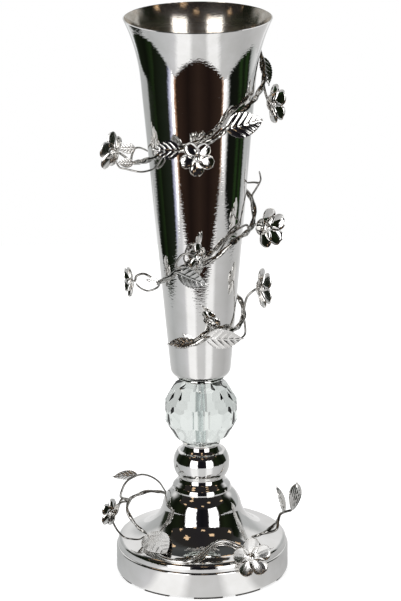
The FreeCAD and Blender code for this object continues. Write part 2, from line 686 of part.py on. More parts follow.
# Leaves: name, stem, share of the way along it, size, where it points, where it looks
make_leaf("cup_leaf_top", "cup_stem_upper", 0.15, 0.95, (0.10, -0.25, -1.0), (0.6, -1.0, 0.0))
make_leaf("cup_leaf_veined", "cup_stem_upper", 0.55, 1.25, (0.15, 1.0, 0.14), (0.9, -0.3, 0.35))
make_leaf("cup_leaf_left", "cup_stem_upper", 0.735, 0.95, (0.22, -0.95, 0.02), (1.0, 0.2, 0.20))
make_leaf("cup_leaf_end_upper", "cup_tendril_back_upper", 0.33, 0.62, (1.0, 0.15, 0.10), (0.0, 1.0, 0.40))
make_leaf("cup_leaf_end_lower", "cup_stem_upper", 0.96, 0.55, (1.0, 0.20, 0.10), (0.1, 1.0, 0.4))
make_leaf("cup_leaf_broad", "cup_stem_middle", 0.87, 1.20, (0.05, 1.0, -0.20), (0.95, 0.15, 0.50))
make_leaf("cup_leaf_small", "cup_stem_middle", 0.97, 0.45, (0.60, -0.7, 0.10), (0.7, 0.7, 0.2))
make_leaf("cup_leaf_large", "cup_stem_lower", 0.84, 1.22, (0.20, 1.0, 0.02), (1.0, -0.2, 0.55))
make_leaf("cup_leaf_end", "cup_stem_lower", 0.91, 0.85, (0.12, -1.0, -0.12), (0.45, 0.1, 1.0))
make_leaf("cup_leaf_back_upper", "cup_stem_middle", 0.20, 1.05, (0.25, 1.0, 0.45), (1.0, -0.2, 0.25))
make_leaf("cup_leaf_back_lower", "cup_stem_lower", 0.22, 1.0, (0.25, -1.0, 0.40), (1.0, 0.2, 0.3))
make_leaf("base_leaf_light", "base_stem_left", 0.985, 1.60, (-0.02, 1.0, -0.09), (0.55, -0.20, 0.95))
make_leaf("base_leaf_loop", "base_tendril_high_loop", 0.27, 0.78, (-0.90, 0.30, 0.42), (0.3, 0.45, 1.0))
make_leaf("base_leaf_edge", "base_twig_right", 0.78, 0.95, (-0.42, 0.10, 1.0), (1.0, -0.15, 0.40))
make_leaf("base_leaf_fan", "base_twig_right", 0.99, 0.95, (0.40, 0.05, 0.85), (0.75, -0.75, 0.1))
make_leaf("base_leaf_back", "base_stem_back", 0.35, 1.0, (0.55, 0.5, 0.80), (0.8, 0.3, -0.3))

# Flowers: name, stem, share of the way along it, their places and where they look, size, bends, turn
make_flower("cup_flower_right_upper", "cup_stem_upper", 0.25, by_cup, (86, 0.767, 0.39),
            (0.9, -0.42, 0.1), 1.14, [(87, 0.797, 0.18), (86, 0.776, 0.27)], 54)
make_flower("cup_flower_front_upper", "cup_stem_upper", 0.68, by_cup, (-1, 0.663, 0.33),
            (1.0, 0.0, 0.30), 0.92, [(0, 0.672, 0.14)], 18)
make_flower("cup_flower_left_upper", "cup_stem_upper", 0.99, by_cup, (-84, 0.641, 0.80),
            (0.88, 0.2, 0.42), 1.14, [(-84, 0.622, 0.50), (-84, 0.636, 0.66)], 10)
make_flower("cup_flower_right_middle", "cup_stem_middle", 0.52, by_cup, (74, 0.434, 0.60),
            (0.85, -0.51, 0.1), 1.18, [(78, 0.440, 0.34)], 54)
make_flower("cup_flower_front_middle", "cup_stem_middle", 0.84, by_cup, (0, 0.386, 0.34),
            (0.50, -0.80, 0.30), 0.80, [(-27, 0.350, 0.20), (-20, 0.383, 0.26), (-12, 0.392, 0.26)], 0)
make_flower("cup_flower_left_middle", "cup_stem_middle", 0.985, by_cup, (-84, 0.277, 0.70),
            (1.0, 0.2, 0.0), 0.90, [(-75, 0.296, 0.26), (-81, 0.299, 0.40), (-84, 0.290, 0.58)], 40)
make_flower("cup_flower_right_lower", "cup_stem_lower", 0.55, by_cup, (84, 0.252, 0.50),
            (0.92, -0.25, 0.15), 1.18, [(88, 0.198, 0.13), (85, 0.226, 0.18), (84, 0.242, 0.30)], 54)
make_flower("cup_flower_front_lower", "cup_stem_lower", 0.83, by_cup, (11, 0.193, 0.18),
            (0.5, 0.5, 0.7), 0.66, [(14, 0.170, 0.10)], 0)
make_flower("cup_flower_back", "cup_stem_lower", 0.22, by_cup, (196, 0.290, 0.40),
            (1.0, 0.1, 0.2), 1.0, [(205, 0.262, 0.18)], 25)
make_flower("base_flower_left", "base_stem_left", 0.54, by_bell, (-78, 1.075, 0.56),
            (0.8, 0.50, 0.30), 0.84, [(-83, 0.95, 0.67), (-80, 1.01, 0.62)], 0)
make_flower("base_flower_front", "base_stem_right", 0.08, by_bell, (34, 1.01, 0.09),
            (0.75, -0.45, 0.50), 1.18, [(44, 0.80, 0.03)], 54)
make_flower("base_flower_back", "base_stem_back", 0.62, by_bell, (186, 0.90, 0.22),
            (0.8, 0.1, 0.55), 0.9, [(188, 0.84, 0.18)], 10)


def check(everything):
    """Stops before anything is written if a step of the model failed."""
    for thing in everything:
        if set(thing.State) & {"Invalid", "Error"}:
            raise RuntimeError(f"{thing.Label} failed: {thing.State}")
    for label, piece in nodes.items():
        if piece.Shape.isNull() or not piece.Shape.isValid() or not piece.Shape.Solids:
            raise RuntimeError(f"{label} has no valid solid")


doc.recompute()
check(doc.Objects)
os.makedirs("parts", exist_ok=True)
for label, piece in nodes.items():
    piece.Shape.exportStep(os.path.join("parts", label + ".step"))
print(len(nodes), "sub-parts written")
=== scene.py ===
"""Looks of the trumpet vase: mirror nickel on spun and turned metal, a faceted crystal ball, and a
nickel plated wire vine with stamped leaves and five-petal flowers. Shapes are worked out in
millimetres in the part's own frame, and turned to metres when a mesh is made. Azimuth 0 is the
front, -Y, and azimuths grow to the right.
"""
import math

import bmesh
import bpy
import numpy as np
from mathutils import Matrix, Vector, noise


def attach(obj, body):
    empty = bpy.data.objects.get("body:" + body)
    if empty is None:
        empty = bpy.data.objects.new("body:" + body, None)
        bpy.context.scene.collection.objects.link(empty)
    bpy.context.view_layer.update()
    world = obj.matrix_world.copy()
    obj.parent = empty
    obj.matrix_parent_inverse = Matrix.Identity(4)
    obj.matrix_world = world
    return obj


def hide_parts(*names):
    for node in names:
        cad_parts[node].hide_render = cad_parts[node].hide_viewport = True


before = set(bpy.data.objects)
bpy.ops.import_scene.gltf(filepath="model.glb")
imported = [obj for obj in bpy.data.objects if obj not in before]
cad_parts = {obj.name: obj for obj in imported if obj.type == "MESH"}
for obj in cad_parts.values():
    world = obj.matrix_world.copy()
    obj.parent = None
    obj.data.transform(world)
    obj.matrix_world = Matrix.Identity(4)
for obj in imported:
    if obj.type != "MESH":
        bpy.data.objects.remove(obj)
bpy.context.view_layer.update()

MM = 0.001

# Sizes of the part, in millimetres
SHEET = 1.0
WIRE_GAP = 0.25
HUG = 1.25
SKIRT_RADIUS, SKIRT_FOOT, SKIRT_TOP, SKIRT_CORNER = 72.0, 1.5, 23.1, 1.6
SKIRT_FLANGE, SKIRT_HEM = 14.0, 5.5
BRIM_RADIUS, BRIM_LIP, BRIM_ROUND = 70.6, 2.6, 4.8
BELL_HEIGHT, BELL_SHOULDER, BELL_CROWN = 48.4, 33.4, 24.8
BELL_TOP = SKIRT_TOP + BELL_HEIGHT
NECK_HEIGHT, NECK_EDGE, WAIST = 11.3, 1.3, 19.4
NECK_TOP = BELL_TOP + NECK_HEIGHT
KNOP_HEIGHT, KNOP_RADIUS, KNOP_SHOULDER = 23.0, 23.5, 20.4
KNOP_TOP = NECK_TOP + KNOP_HEIGHT
COLLAR_HEIGHT, COLLAR_FOOT, COLLAR_THROAT, COLLAR_LIP = 7.2, 17.3, 15.0, 15.9
COLLAR_TOP = KNOP_TOP + COLLAR_HEIGHT
BALL_HALF = 28.0
BALL_TOP = COLLAR_TOP + 2 * BALL_HALF
SEAT_BOTTOM, SEAT_TOP, SEAT_HEIGHT = 18.6, 20.2, 2.2
CUP_BOTTOM = BALL_TOP + SEAT_HEIGHT
CUP_HEIGHT, CUP_FLOOR, CUP_HEEL, HEEL_HEIGHT = 301.5, 18.5, 25.2, 8.5
CUP_THROAT, FLARE_HEIGHT, RIM_RADIUS = 46.4, 51.2, 60.0
RIM_HEIGHT = CUP_BOTTOM + CUP_HEIGHT
THROAT_HEIGHT = RIM_HEIGHT - FLARE_HEIGHT
BORE = 3.3
STEM_WIRE, FOOT_WIRE, TWIG_WIRE = 2.1, 1.5, 0.75
VINE_REACH = 30.0
LEAF_LENGTH, LEAF_WIDTH, BLADE = 25.0, 14.5, 0.6
FLOWER_RADIUS, PETAL_WIDTH, BEAD = 14.0, 11.6, 2.6
PETAL_STEP = 0.15

# Form of a leaf, as shares of its length and width, and its relief in millimetres
LEAF_BOW, LEAF_FOLD, LEAF_DROOP = 0.09, 0.22, 0.05
VEIN_RELIEF, MIDRIB_RELIEF, LEAF_RIM_RELIEF, PLEAT_RELIEF, MIDRIB_HALF = 0.42, 0.55, 0.20, 0.30, 0.75
# Where along its length a petal is widest, its hollow as a share of that length, and its rim
PETAL_WIDEST, PETAL_HOLLOW, PETAL_RIM_RELIEF = 0.62, 0.04, 0.42

# How finely the pieces are divided, and the angle in degrees past which an edge looks sharp
LATHE_SIDES, STEM_SIDES, WIRE_SIDES, STALK_SIDES, BEAD_SIDES = 288, 18, 14, 12, 24
LEAF_ROWS, LEAF_COLUMNS, PETAL_ROWS, PETAL_COLUMNS = 61, 33, 25, 21
TURNED_SHARP, SEAT_SHARP, STAMPED_SHARP, WIRE_SHARP, TABLE_SHARP = 28, 40, 50, 60, 30

# Curves, as shares of their run and their rise
ROLL = [(0.13, 0.50), (0.50, 0.87)]
BELL_FLARE = [(0.264, 0.061), (0.508, 0.204), (0.720, 0.416), (0.889, 0.686)]
BELL_DOME = [(0.118, 0.283), (0.332, 0.549), (0.627, 0.792)]
HEEL = [(0.53, 0.19), (0.89, 0.55)]
MOUTH = [(0.091, 0.207), (0.239, 0.411), (0.440, 0.612), (0.693, 0.809)]
OGEE = [(0.16, 0.276), (0.50, 0.50), (0.84, 0.724)]
KNOP = [(0.918, 0.149), (0.978, 0.310), (1.0, 0.48), (0.993, 0.652), (0.948, 0.820)]
COLLAR = [(0.0, 0.16), (0.67, 0.40), (1.0, 0.76)]
FLARE_TOP = 0.672


# Curves and places
def curve(start, finish, shares):
    """Places from start to finish, with the ones between as shares of the run and of the rise."""
    between = [(start[0] + (finish[0] - start[0]) * run, start[1] + (finish[1] - start[1]) * rise)
               for run, rise in shares]
    return [start] + between + [finish]


def smooth(points, step):
    """A smooth curve through points, with a place about every step millimetres."""
    points = np.array(points, float)
    padded = np.vstack([2 * points[0] - points[1], points, 2 * points[-1] - points[-2]])
    out = []
    for before, here, there, after in zip(padded, padded[1:], padded[2:], padded[3:]):
        span = np.linalg.norm(there - here)
        leave = (there - before) * (span / (span + np.linalg.norm(here - before)))
        arrive = (after - here) * (span / (span + np.linalg.norm(after - there)))
        count = max(1, int(math.ceil(span / step)))
        for share in np.arange(count) / count:
            square, cube = share * share, share ** 3
            out.append(here * (2 * cube - 3 * square + 1) + leave * (cube - 2 * square + share)
                       + there * (3 * square - 2 * cube) + arrive * (cube - square))
    return [tuple(place) for place in out] + [tuple(points[-1])]


def crossing(corners, given, wanted, value):
    """The wanted coordinate where a line of corners first reaches a value of the given one."""
    for near, far in zip(corners, corners[1:]):
        low, high = near[given], far[given]
        if low != high and min(low, high) <= value <= max(low, high):
            share = (value - low) / (high - low)
            return near[wanted] + share * (far[wanted] - near[wanted])
    return corners[-1][wanted]


def polar(azimuth, radius, height):
    """A place from its azimuth in degrees, its distance from the axis and its height."""
    angle = math.radians(azimuth)
    return Vector((radius * math.sin(angle), -radius * math.cos(angle), height))


LIP = (BRIM_RADIUS, SKIRT_TOP + BRIM_LIP)
ROLLED = (BRIM_RADIUS - BRIM_ROUND, LIP[1] + BRIM_ROUND)
SHOULDER = (BELL_SHOULDER, SKIRT_TOP + BELL_HEIGHT * FLARE_TOP)
CROWN = (BELL_CROWN, BELL_TOP)
BRIM_LINE = curve(LIP, ROLLED, ROLL)
BELL_LINE = curve(ROLLED, SHOULDER, BELL_FLARE) + curve(SHOULDER, CROWN, BELL_DOME)[1:]
BELL_CORNERS = BRIM_LINE + BELL_LINE[1:]
CUP_FOOT = (CUP_FLOOR, CUP_BOTTOM)
CUP_HIP = (CUP_HEEL, CUP_BOTTOM + HEEL_HEIGHT)
THROAT = (CUP_THROAT, THROAT_HEIGHT)
RIM = (RIM_RADIUS, RIM_HEIGHT)
HEEL_LINE = curve(CUP_FOOT, CUP_HIP, HEEL)
MOUTH_LINE = curve(THROAT, RIM, MOUTH)
CUP_CORNERS = HEEL_LINE + MOUTH_LINE


def by_cup(azimuth, rise, reach, thick=STEM_WIRE):
    """A place by the cup: rise is a share of its height, reach a share of the vine's reach."""
    height = CUP_BOTTOM + rise * CUP_HEIGHT
    radius = crossing(CUP_CORNERS, 1, 0, height) + thick * HUG + WIRE_GAP + reach * VINE_REACH
    return polar(azimuth, radius, height)


def by_bell(azimuth, spread, lift, thick=FOOT_WIRE):
    """A place by the bell: spread is a share of the brim's radius, lift of the bell's height."""
    radius = spread * BRIM_RADIUS
    height = crossing(BELL_CORNERS, 0, 1, min(radius, BRIM_RADIUS)) + thick * HUG + WIRE_GAP
    return polar(azimuth, radius, height + lift * BELL_HEIGHT)


def along(path, share):
    """The place at a share of the steps of a path."""
    step = share * (len(path) - 1)
    index = min(int(step), len(path) - 2)
    return path[index] + (path[index + 1] - path[index]) * (step - index)


def local(place, out, around, up):
    """A direction from its parts away from the axis, to the right round it, and up."""
    away = Vector((place.x, place.y, 0)).normalized()
    return (away * out + Vector((-away.y, away.x, 0)) * around + Vector((0, 0, up))).normalized()


# Meshes
class Shape:
    """Collects points, in millimetres, and faces for one piece."""

    def __init__(self):
        self.points, self.faces, self.kinds = [], [], []

    def add(self, points, faces, kind=0):
        start = len(self.points)
        self.points += [tuple(point) for point in points]
        self.faces += [tuple(start + corner for corner in face) for face in faces]
        self.kinds += [kind] * len(faces)

    def piece(self, name, materials, sharp):
        """Makes the object, smooth but for edges past an angle in degrees."""
        mesh = bpy.data.meshes.new(name)
        mesh.from_pydata([Vector(point) * MM for point in self.points], [], self.faces)
        for material in materials:
            mesh.materials.append(material)
        mesh.polygons.foreach_set("material_index", self.kinds)
        mesh.polygons.foreach_set("use_smooth", [True] * len(self.faces))
        mesh.set_sharp_from_angle(angle=math.radians(sharp))
        mesh.update()
        thing = bpy.data.objects.new(name, mesh)
        bpy.context.scene.collection.objects.link(thing)
        return thing


def band(rows, columns, closed):
    """Faces of a grid of points, closed across its columns or not."""
    last = columns if closed else columns - 1
    return [(row * columns + column, row * columns + (column + 1) % columns,
             (row + 1) * columns + (column + 1) % columns, (row + 1) * columns + column)
            for row in range(rows - 1) for column in range(last)]


def capped(rows, sides):
    """Faces of a round skin with a face at each end."""
    first, last = range(sides), range((rows - 1) * sides, rows * sides)
    return band(rows, sides, True) + [tuple(reversed(first)), tuple(last)]


def ring(across, lift, sides):
    """Evenly spaced angles round an axis, each with its direction."""
    for side in range(sides):
        angle = 2 * math.pi * side / sides
        yield angle, across * math.cos(angle) + lift * math.sin(angle)


def lathe(shape, profile):
    """Turns a closed profile of (radius, height) round the axis."""
    angles = np.arange(LATHE_SIDES) * (2 * math.pi / LATHE_SIDES)
    points = [(radius * math.cos(angle), radius * math.sin(angle), height)
              for radius, height in profile for angle in angles]
    faces = [tuple(corner % len(points) for corner in face)
             for face in band(len(profile) + 1, LATHE_SIDES, True)]
    shape.add(points, faces)


def spaced(start, finish, step):
    """Places along a straight run, without its last one."""
    count = max(1, int(math.dist(start, finish) / step))
    return [tuple(low + (high - low) * i / count for low, high in zip(start, finish))
            for i in range(count)]


def inset(line, wall):
    """The same line one wall further in, to its left."""
    line = np.array(line, float)
    ahead = np.gradient(line, axis=0)
    ahead /= np.linalg.norm(ahead, axis=1)[:, None]
    inner = line + np.stack([-ahead[:, 1], ahead[:, 0]], axis=1) * wall
    return [tuple(place) for place in inner]


def tube(shape, path, radius, sides, kind=0):
    """A wire along a path, with a radius for each distance along it and angle round it."""
    path = np.array(path, float)
    ahead = np.gradient(path, axis=0)
    ahead /= np.linalg.norm(ahead, axis=1)[:, None]
    run = np.concatenate([[0], np.cumsum(np.linalg.norm(np.diff(path, axis=0), axis=1))])
    across = np.cross(ahead[0], [0, 0, 1])
    points = []
    for place, forward, done in zip(path, ahead, run):
        across = across - forward * across.dot(forward)
        across /= np.linalg.norm(across)
        for angle, out in ring(across, np.cross(forward, across), sides):
            points.append(place + out * radius(done, run[-1], angle))
    shape.add(points, capped(len(path), sides), kind)


def plain_wire(thick, tip=1.0):
    """A drawn wire with rounded ends that may thin towards its tip."""
    bluntest = 0.08

    def radius(done, whole, angle):
        end = min(done, whole - done) / thick
        rounded = math.sqrt(max(bluntest, 1 - max(0, 1 - end) ** 2))
        return thick * rounded * (1 - (1 - tip) * done / whole)
    return radius


def gnarled_wire(thick, seed):
    """A cast vine stem: two strands twisted together, with knots, and thinner at its ends."""
    knots_per_mm, bark_per_mm, bark_round, twist_per_mm = 0.11, 0.55, 0.9, 0.21
    taper_mm, tip_mm = 26, 2

    def radius(done, whole, angle):
        knots = noise.noise(Vector((done * knots_per_mm, seed, 0)))
        bark = noise.noise(Vector((
            done * bark_per_mm, math.cos(angle) * bark_round + seed, math.sin(angle) * bark_round)))
        strands = math.cos(2 * (angle - done * twist_per_mm))
        end = min(done, whole - done)
        taper = min(1, 0.5 + end / taper_mm) * math.sqrt(min(1, 0.12 + end / tip_mm))
        return thick * taper * (0.94 + 0.20 * knots + 0.17 * strands + 0.10 * bark)
    return radius


def blade_grid(base, forward, facing, length, width, rows, columns, form):
    """A grid of points for a leaf or petal, in front and back, and the faces that close it."""
    side = forward.cross(facing).normalized()
    up = side.cross(forward).normalized()
    front, back = [], []
    for row in range(rows):
        ahead = row / (rows - 1)
        for column in range(columns):
            across = 2 * column / (columns - 1) - 1
            reach, spread, rise = form(ahead, across)
            place = base + forward * (reach * length) - side * (spread * width / 2)
            front.append(place + up * (rise + BLADE))
            back.append(place + up * rise)
    count = rows * columns
    faces = [tuple(reversed(face)) for face in band(rows, columns, False)]
    faces += [tuple(corner + count for corner in face) for face in band(rows, columns, False)]
    rim = list(range(columns))
    rim += [row * columns + columns - 1 for row in range(1, rows)]
    rim += [(rows - 1) * columns + column for column in range(columns - 2, -1, -1)]
    rim += [row * columns for row in range(rows - 2, 0, -1)]
    faces += [(a, b, b + count, a + count) for a, b in zip(rim, rim[1:] + rim[:1])]
    return front + back, faces


def leaf_form(length, width, veins, fringe, relief, pleats):
    """A folded, serrated leaf with a raised midrib and side veins, or with lengthwise pleats."""
    # A pleated leaf is widest near its blunt tip, the others near the stem.
    widest, blunt = (1.45, 0.5) if pleats else (0.80, 0.72)

    def form(ahead, across):
        outline = max(0, math.sin(math.pi * min(1, ahead * 1.04 + 0.015) ** widest)) ** blunt
        edge = abs(across)
        # Two teeth on the edge for each side vein
        tooth = (ahead * veins * 2 - 0.35) % 1
        outline *= 1 + fringe * (tooth - 0.5) * edge ** 6
        outline = max(outline, 0.05)
        flow = (ahead - 0.5 * width / length * edge * outline) * veins
        vein = max(0, 1 - abs((flow % 1) - 0.5) * 5.0) * min(1, edge * 6) * (1 - edge ** 4)
        midrib = max(0, 1 - (edge * outline * width / 2 / MIDRIB_HALF) ** 2)
        rise = (LEAF_BOW * relief * length * math.sin(math.pi * ahead * 0.62)
                + relief * (LEAF_FOLD * edge * outline * width / 2 + VEIN_RELIEF * vein
                            + MIDRIB_RELIEF * midrib + LEAF_RIM_RELIEF * edge ** 14)
                - LEAF_DROOP * width * (edge * outline) ** 2
                + PLEAT_RELIEF * min(1, pleats) * math.cos(math.pi * pleats * across)
                * min(1, ahead * 2))
        return ahead, across * outline, rise
    return form


def petal_form(length, width, seed):
    """A round petal, hollow like a spoon, with a turned-up rim and fine lines from its root."""
    def form(ahead, across):
        if ahead < PETAL_WIDEST:
            outline = math.sqrt(1 - 0.92 * ((PETAL_WIDEST - ahead) / PETAL_WIDEST) ** 2)
        else:
            outline = math.sqrt(1 - 0.90 * ((ahead - PETAL_WIDEST) / (1 - PETAL_WIDEST)) ** 2)
        edge = abs(across)
        wave = 0.10 * noise.noise(Vector((across * 1.7, ahead * 1.3, seed)))
        rim = max(edge ** 2, ((ahead - 0.45) / 0.55) ** 2 if ahead > 0.45 else 0)
        lines = 0.035 * math.cos(across * 15) * min(1, ahead * 2) * (1 - edge ** 6)
        rise = (0.20 * length * ahead ** 1.2 + 0.10 * width * edge ** 3 * outline
                - PETAL_HOLLOW * length * math.sin(math.pi * ahead) * (1 - edge ** 2) + lines + wave
                + PETAL_RIM_RELIEF * max(0, (rim - 0.74) / 0.26) ** 2)
        return 0.05 + 0.95 * ahead, across * outline, rise
    return form


def bead(shape, base, axis, profile):
    """A small turned bead on an axis, from its (radius, height) places."""
    across = axis.orthogonal().normalized()
    points = [base + axis * height + out * radius for radius, height in profile
              for _, out in ring(across, axis.cross(across), BEAD_SIDES)]
    shape.add(points, capped(len(profile), BEAD_SIDES))


# Colours and nodes
def linear(code):
    """An sRGB hex colour as the linear values that a shader takes."""
    parts = [int(code[i:i + 2], 16) / 255 for i in (1, 3, 5)]
    return [part / 12.92 if part <= 0.04045 else ((part + 0.055) / 1.055) ** 2.4
            for part in parts] + [1]


def add(tree, kind, inputs=None, stops=(), **settings):
    """Adds a node, with its settings, and gives each named input a value or a link. Stops are a
    colour ramp's (place, hex colour) pairs."""
    node = tree.nodes.new(kind)
    for name, value in settings.items():
        setattr(node, name, value)
    for name, value in (inputs or {}).items():
        if isinstance(value, bpy.types.NodeSocket):
            tree.links.new(value, node.inputs[name])
        else:
            node.inputs[name].default_value = value
    if stops:
        elements = node.color_ramp.elements
        while len(elements) < len(stops):
            elements.new(1)
        for element, (place, code) in zip(elements, sorted(stops)):
            element.position, element.color = place, linear(code)
    return node


def new_material(name):
    """An empty material and its node tree."""
    material = bpy.data.materials.new(name)
    material.use_nodes = True
    tree = material.node_tree
    tree.nodes.clear()
    return material, tree


def patchy(tree, size_mm, detail=2.0, stretch=None):
    """Noise in the piece's own coordinates, with cells of a size in millimetres."""
    where = add(tree, "ShaderNodeTexCoord").outputs["Object"]
    if stretch:
        where = add(tree, "ShaderNodeMapping", {"Vector": where, "Scale": stretch}).outputs["Vector"]
    return add(tree, "ShaderNodeTexNoise", {
        "Vector": where, "Scale": 1 / (size_mm * MM), "Detail": detail}).outputs["Fac"]


def metal(name, shade, dark, rough, rough_spread, grain_mm, grain_depth_mm, smudge_mm=14,
          stretch=None):
    """Plated metal: two shades in soft patches, a little wear in its roughness, and a fine grain."""
    material, tree = new_material(name)
    patches = patchy(tree, smudge_mm, 3.0)
    colour = add(tree, "ShaderNodeValToRGB", {"Fac": patches},
                 [(0.35, dark), (0.65, shade)]).outputs["Color"]
    worn = add(tree, "ShaderNodeMapRange", {
        "Value": patches, "From Min": 0.35, "From Max": 0.7,
        "To Min": rough, "To Max": rough + rough_spread}).outputs["Result"]
    bump = add(tree, "ShaderNodeBump", {
        "Height": patchy(tree, grain_mm, 2.0, stretch), "Distance": grain_depth_mm * MM,
        "Strength": 1.0}).outputs["Normal"]
    shader = add(tree, "ShaderNodeBsdfPrincipled", {
        "Base Color": colour, "Metallic": 1.0, "Roughness": worn, "Normal": bump})
    add(tree, "ShaderNodeOutputMaterial", {"Surface": shader.outputs["BSDF"]})
    return material


# Bright nickel plate on spun brass, buffed to a mirror. The grain is the faint ripple that the
# spinning leaves, which makes the edges of reflections ragged.
mirror_nickel = metal(
    "bright_nickel_mirror", "#F6F5F4", "#EFEEEC", rough=0.012, rough_spread=0.015,
    grain_mm=3.2, grain_depth_mm=0.042, stretch=(1, 1, 2.2))
# Nickel plate over a cast stem: rough casting skin under bright plate, so it glitters.
stem_nickel = metal(
    "cast_nickel_stem", "#E8E6E2", "#7E7C78", rough=0.05, rough_spread=0.06,
    grain_mm=2.0, grain_depth_mm=0.16, smudge_mm=2.4)
# Drawn wire, plated: smooth and a little grey.
wire_nickel = metal(
    "drawn_nickel_wire", "#B9B7B3", "#868480", rough=0.06, rough_spread=0.05,
    grain_mm=2.0, grain_depth_mm=0.03, smudge_mm=6)
# Stamped sheet, plated and polished: bright, with slightly soft reflections.
leaf_nickel = metal(
    "stamped_nickel_leaf", "#F5F4F2", "#E2E0DD", rough=0.05, rough_spread=0.05,
    grain_mm=1.6, grain_depth_mm=0.03, smudge_mm=7)
# The pale leaves, three flowers and the front wire are tumbled to a satin: an even, paler grey.
satin_nickel = metal(
    "tumbled_nickel_leaf", "#FBFAF8", "#ECEAE7", rough=0.19, rough_spread=0.08,
    grain_mm=1.2, grain_depth_mm=0.04, smudge_mm=8)
# Stamped petals, polished a little further than the leaves: crisp lights and darks.
petal_nickel = metal(
    "stamped_nickel_petal", "#F5F4F2", "#DEDCD9", rough=0.04, rough_spread=0.04,
    grain_mm=1.8, grain_depth_mm=0.03, smudge_mm=6)


# Millimetres below the cup's rim where the buffing starts and is full, where the lip starts to
# roll out, and where the coarse brushing starts to fade and is nearly gone
BUFF_START, BUFF_FULL, LIP_START, BRUSH_START, BRUSH_END = 14, 3, 16, 20, 2


def brushed_inside(name):
    """Inside of the cup: buffed at the rim, and below it only brushed in the lathe, so that light
    smears across the brush rings. A little warmer than the outside."""
    material, tree = new_material(name)
    height = add(tree, "ShaderNodeSeparateXYZ", {
        "Vector": add(tree, "ShaderNodeTexCoord").outputs["Object"]}).outputs["Z"]
    rough = add(tree, "ShaderNodeMapRange", {
        "Value": height, "From Min": (RIM_HEIGHT - BUFF_START) * MM,
        "From Max": (RIM_HEIGHT - BUFF_FULL) * MM, "To Min": 0.14, "To Max": 0.03}).outputs["Result"]
    colour = add(tree, "ShaderNodeValToRGB", {"Fac": patchy(tree, 9, 3.0, (1, 1, 2))},
                 [(0.35, "#D9CFC2"), (0.65, "#F1EAE0")]).outputs["Color"]
    rings = patchy(tree, 2.2, 2.0, (1, 1, 3))
    lip = add(tree, "ShaderNodeMapRange", {
        "Value": height, "From Min": (RIM_HEIGHT - LIP_START) * MM,
        "From Max": RIM_HEIGHT * MM}).outputs["Result"]
    swell = add(tree, "ShaderNodeMath", {0: lip, 1: 2.0}, operation="POWER").outputs[0]
    rolled = add(tree, "ShaderNodeBump", {
        "Height": swell, "Distance": 1.5 * MM}, invert=True).outputs["Normal"]
    bump = add(tree, "ShaderNodeBump", {
        "Height": rings, "Distance": 0.06 * MM, "Normal": rolled}).outputs["Normal"]
    around = add(tree, "ShaderNodeTangent", direction_type="RADIAL", axis="Z").outputs["Tangent"]
    fine, coarse = (add(tree, "ShaderNodeBsdfPrincipled", {
        "Base Color": colour, "Metallic": 1.0, "Roughness": how_rough, "Anisotropic": 0.6,
        "Anisotropic Rotation": 0.25, "Normal": bump, "Tangent": around}).outputs["BSDF"]
        for how_rough in (rough, 0.42))
    depth = add(tree, "ShaderNodeMapRange", {
        "Value": height, "From Min": (RIM_HEIGHT - BRUSH_START) * MM,
        "From Max": (RIM_HEIGHT - BRUSH_END) * MM, "To Min": 0.30, "To Max": 0.06}).outputs["Result"]
    both = add(tree, "ShaderNodeMixShader", {0: depth, 1: fine, 2: coarse}).outputs[0]
    add(tree, "ShaderNodeOutputMaterial", {"Surface": both})
    return material


brushed_nickel = brushed_inside("brushed_nickel_inside")
# Zinc plated steel of the hidden hardware: dull with a bluish grey.
zinc_steel = metal(
    "zinc_plated_steel", "#B4B8BC", "#989CA0", rough=0.32, rough_spread=0.12,
    grain_mm=0.6, grain_depth_mm=0.02, smudge_mm=4)
# The rod shows through the crystal, so it's bright zinc, which is smoother.
bright_zinc = metal(
    "bright_zinc_rod", "#F0F2F4", "#D8DBDE", rough=0.10, rough_spread=0.06,
    grain_mm=1.2, grain_depth_mm=0.02, smudge_mm=5)


def rubber(name, shade, dark, rough, grain_mm):
    """Moulded rubber: dull, with a fine mould grain and paler dusty patches."""
    material, tree = new_material(name)
    colour = add(tree, "ShaderNodeValToRGB", {"Fac": patchy(tree, 3.0, 4.0)},
                 [(0.3, dark), (0.7, shade)]).outputs["Color"]
    bump = add(tree, "ShaderNodeBump", {
        "Height": patchy(tree, grain_mm), "Distance": 0.05 * MM}).outputs["Normal"]
    shader = add(tree, "ShaderNodeBsdfPrincipled", {
        "Base Color": colour, "Roughness": rough, "Normal": bump})
    add(tree, "ShaderNodeOutputMaterial", {"Surface": shader.outputs["BSDF"]})
    return material


# Black rubber of the gasket, clean and a little shiny, and the dull grey one of the foot pads
gasket_rubber = rubber("black_gasket_rubber", "#1C1C1C", "#0E0E0E", rough=0.55, grain_mm=0.4)
pad_rubber = rubber("dark_foot_rubber", "#4A4846", "#353331", rough=0.75, grain_mm=0.5)


def crystal(name):
    """Cut crystal: clear, with the index of lead glass and the faint grey green of its depth."""
    material, tree = new_material(name)
    shader = add(tree, "ShaderNodeBsdfPrincipled", {
        "Base Color": linear("#F1F6F3"), "Roughness": 0.0, "IOR": 1.54, "Transmission Weight": 1.0})
    add(tree, "ShaderNodeOutputMaterial", {"Surface": shader.outputs["BSDF"]})
    return material


cut_crystal = crystal("cut_crystal_glass")


def settle(thing, node):
    """Fixes a finished piece to the vase, in place of the part's own solid."""
    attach(thing, "root")
    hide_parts(node)


# Spun and turned metal
def spun(name, outer, node, outside, inside=None):
    """A spun shell from its outer line, which runs up, and the same line one sheet further in."""
    shape = Shape()
    lathe(shape, outer + inset(outer, SHEET)[::-1])
    if inside:
        outer_faces = len(outer) * LATHE_SIDES
        shape.kinds[outer_faces:] = [1] * (len(shape.faces) - outer_faces)
    materials = [outside, inside] if inside else [outside]
    settle(shape.piece(name, materials, TURNED_SHARP), node)


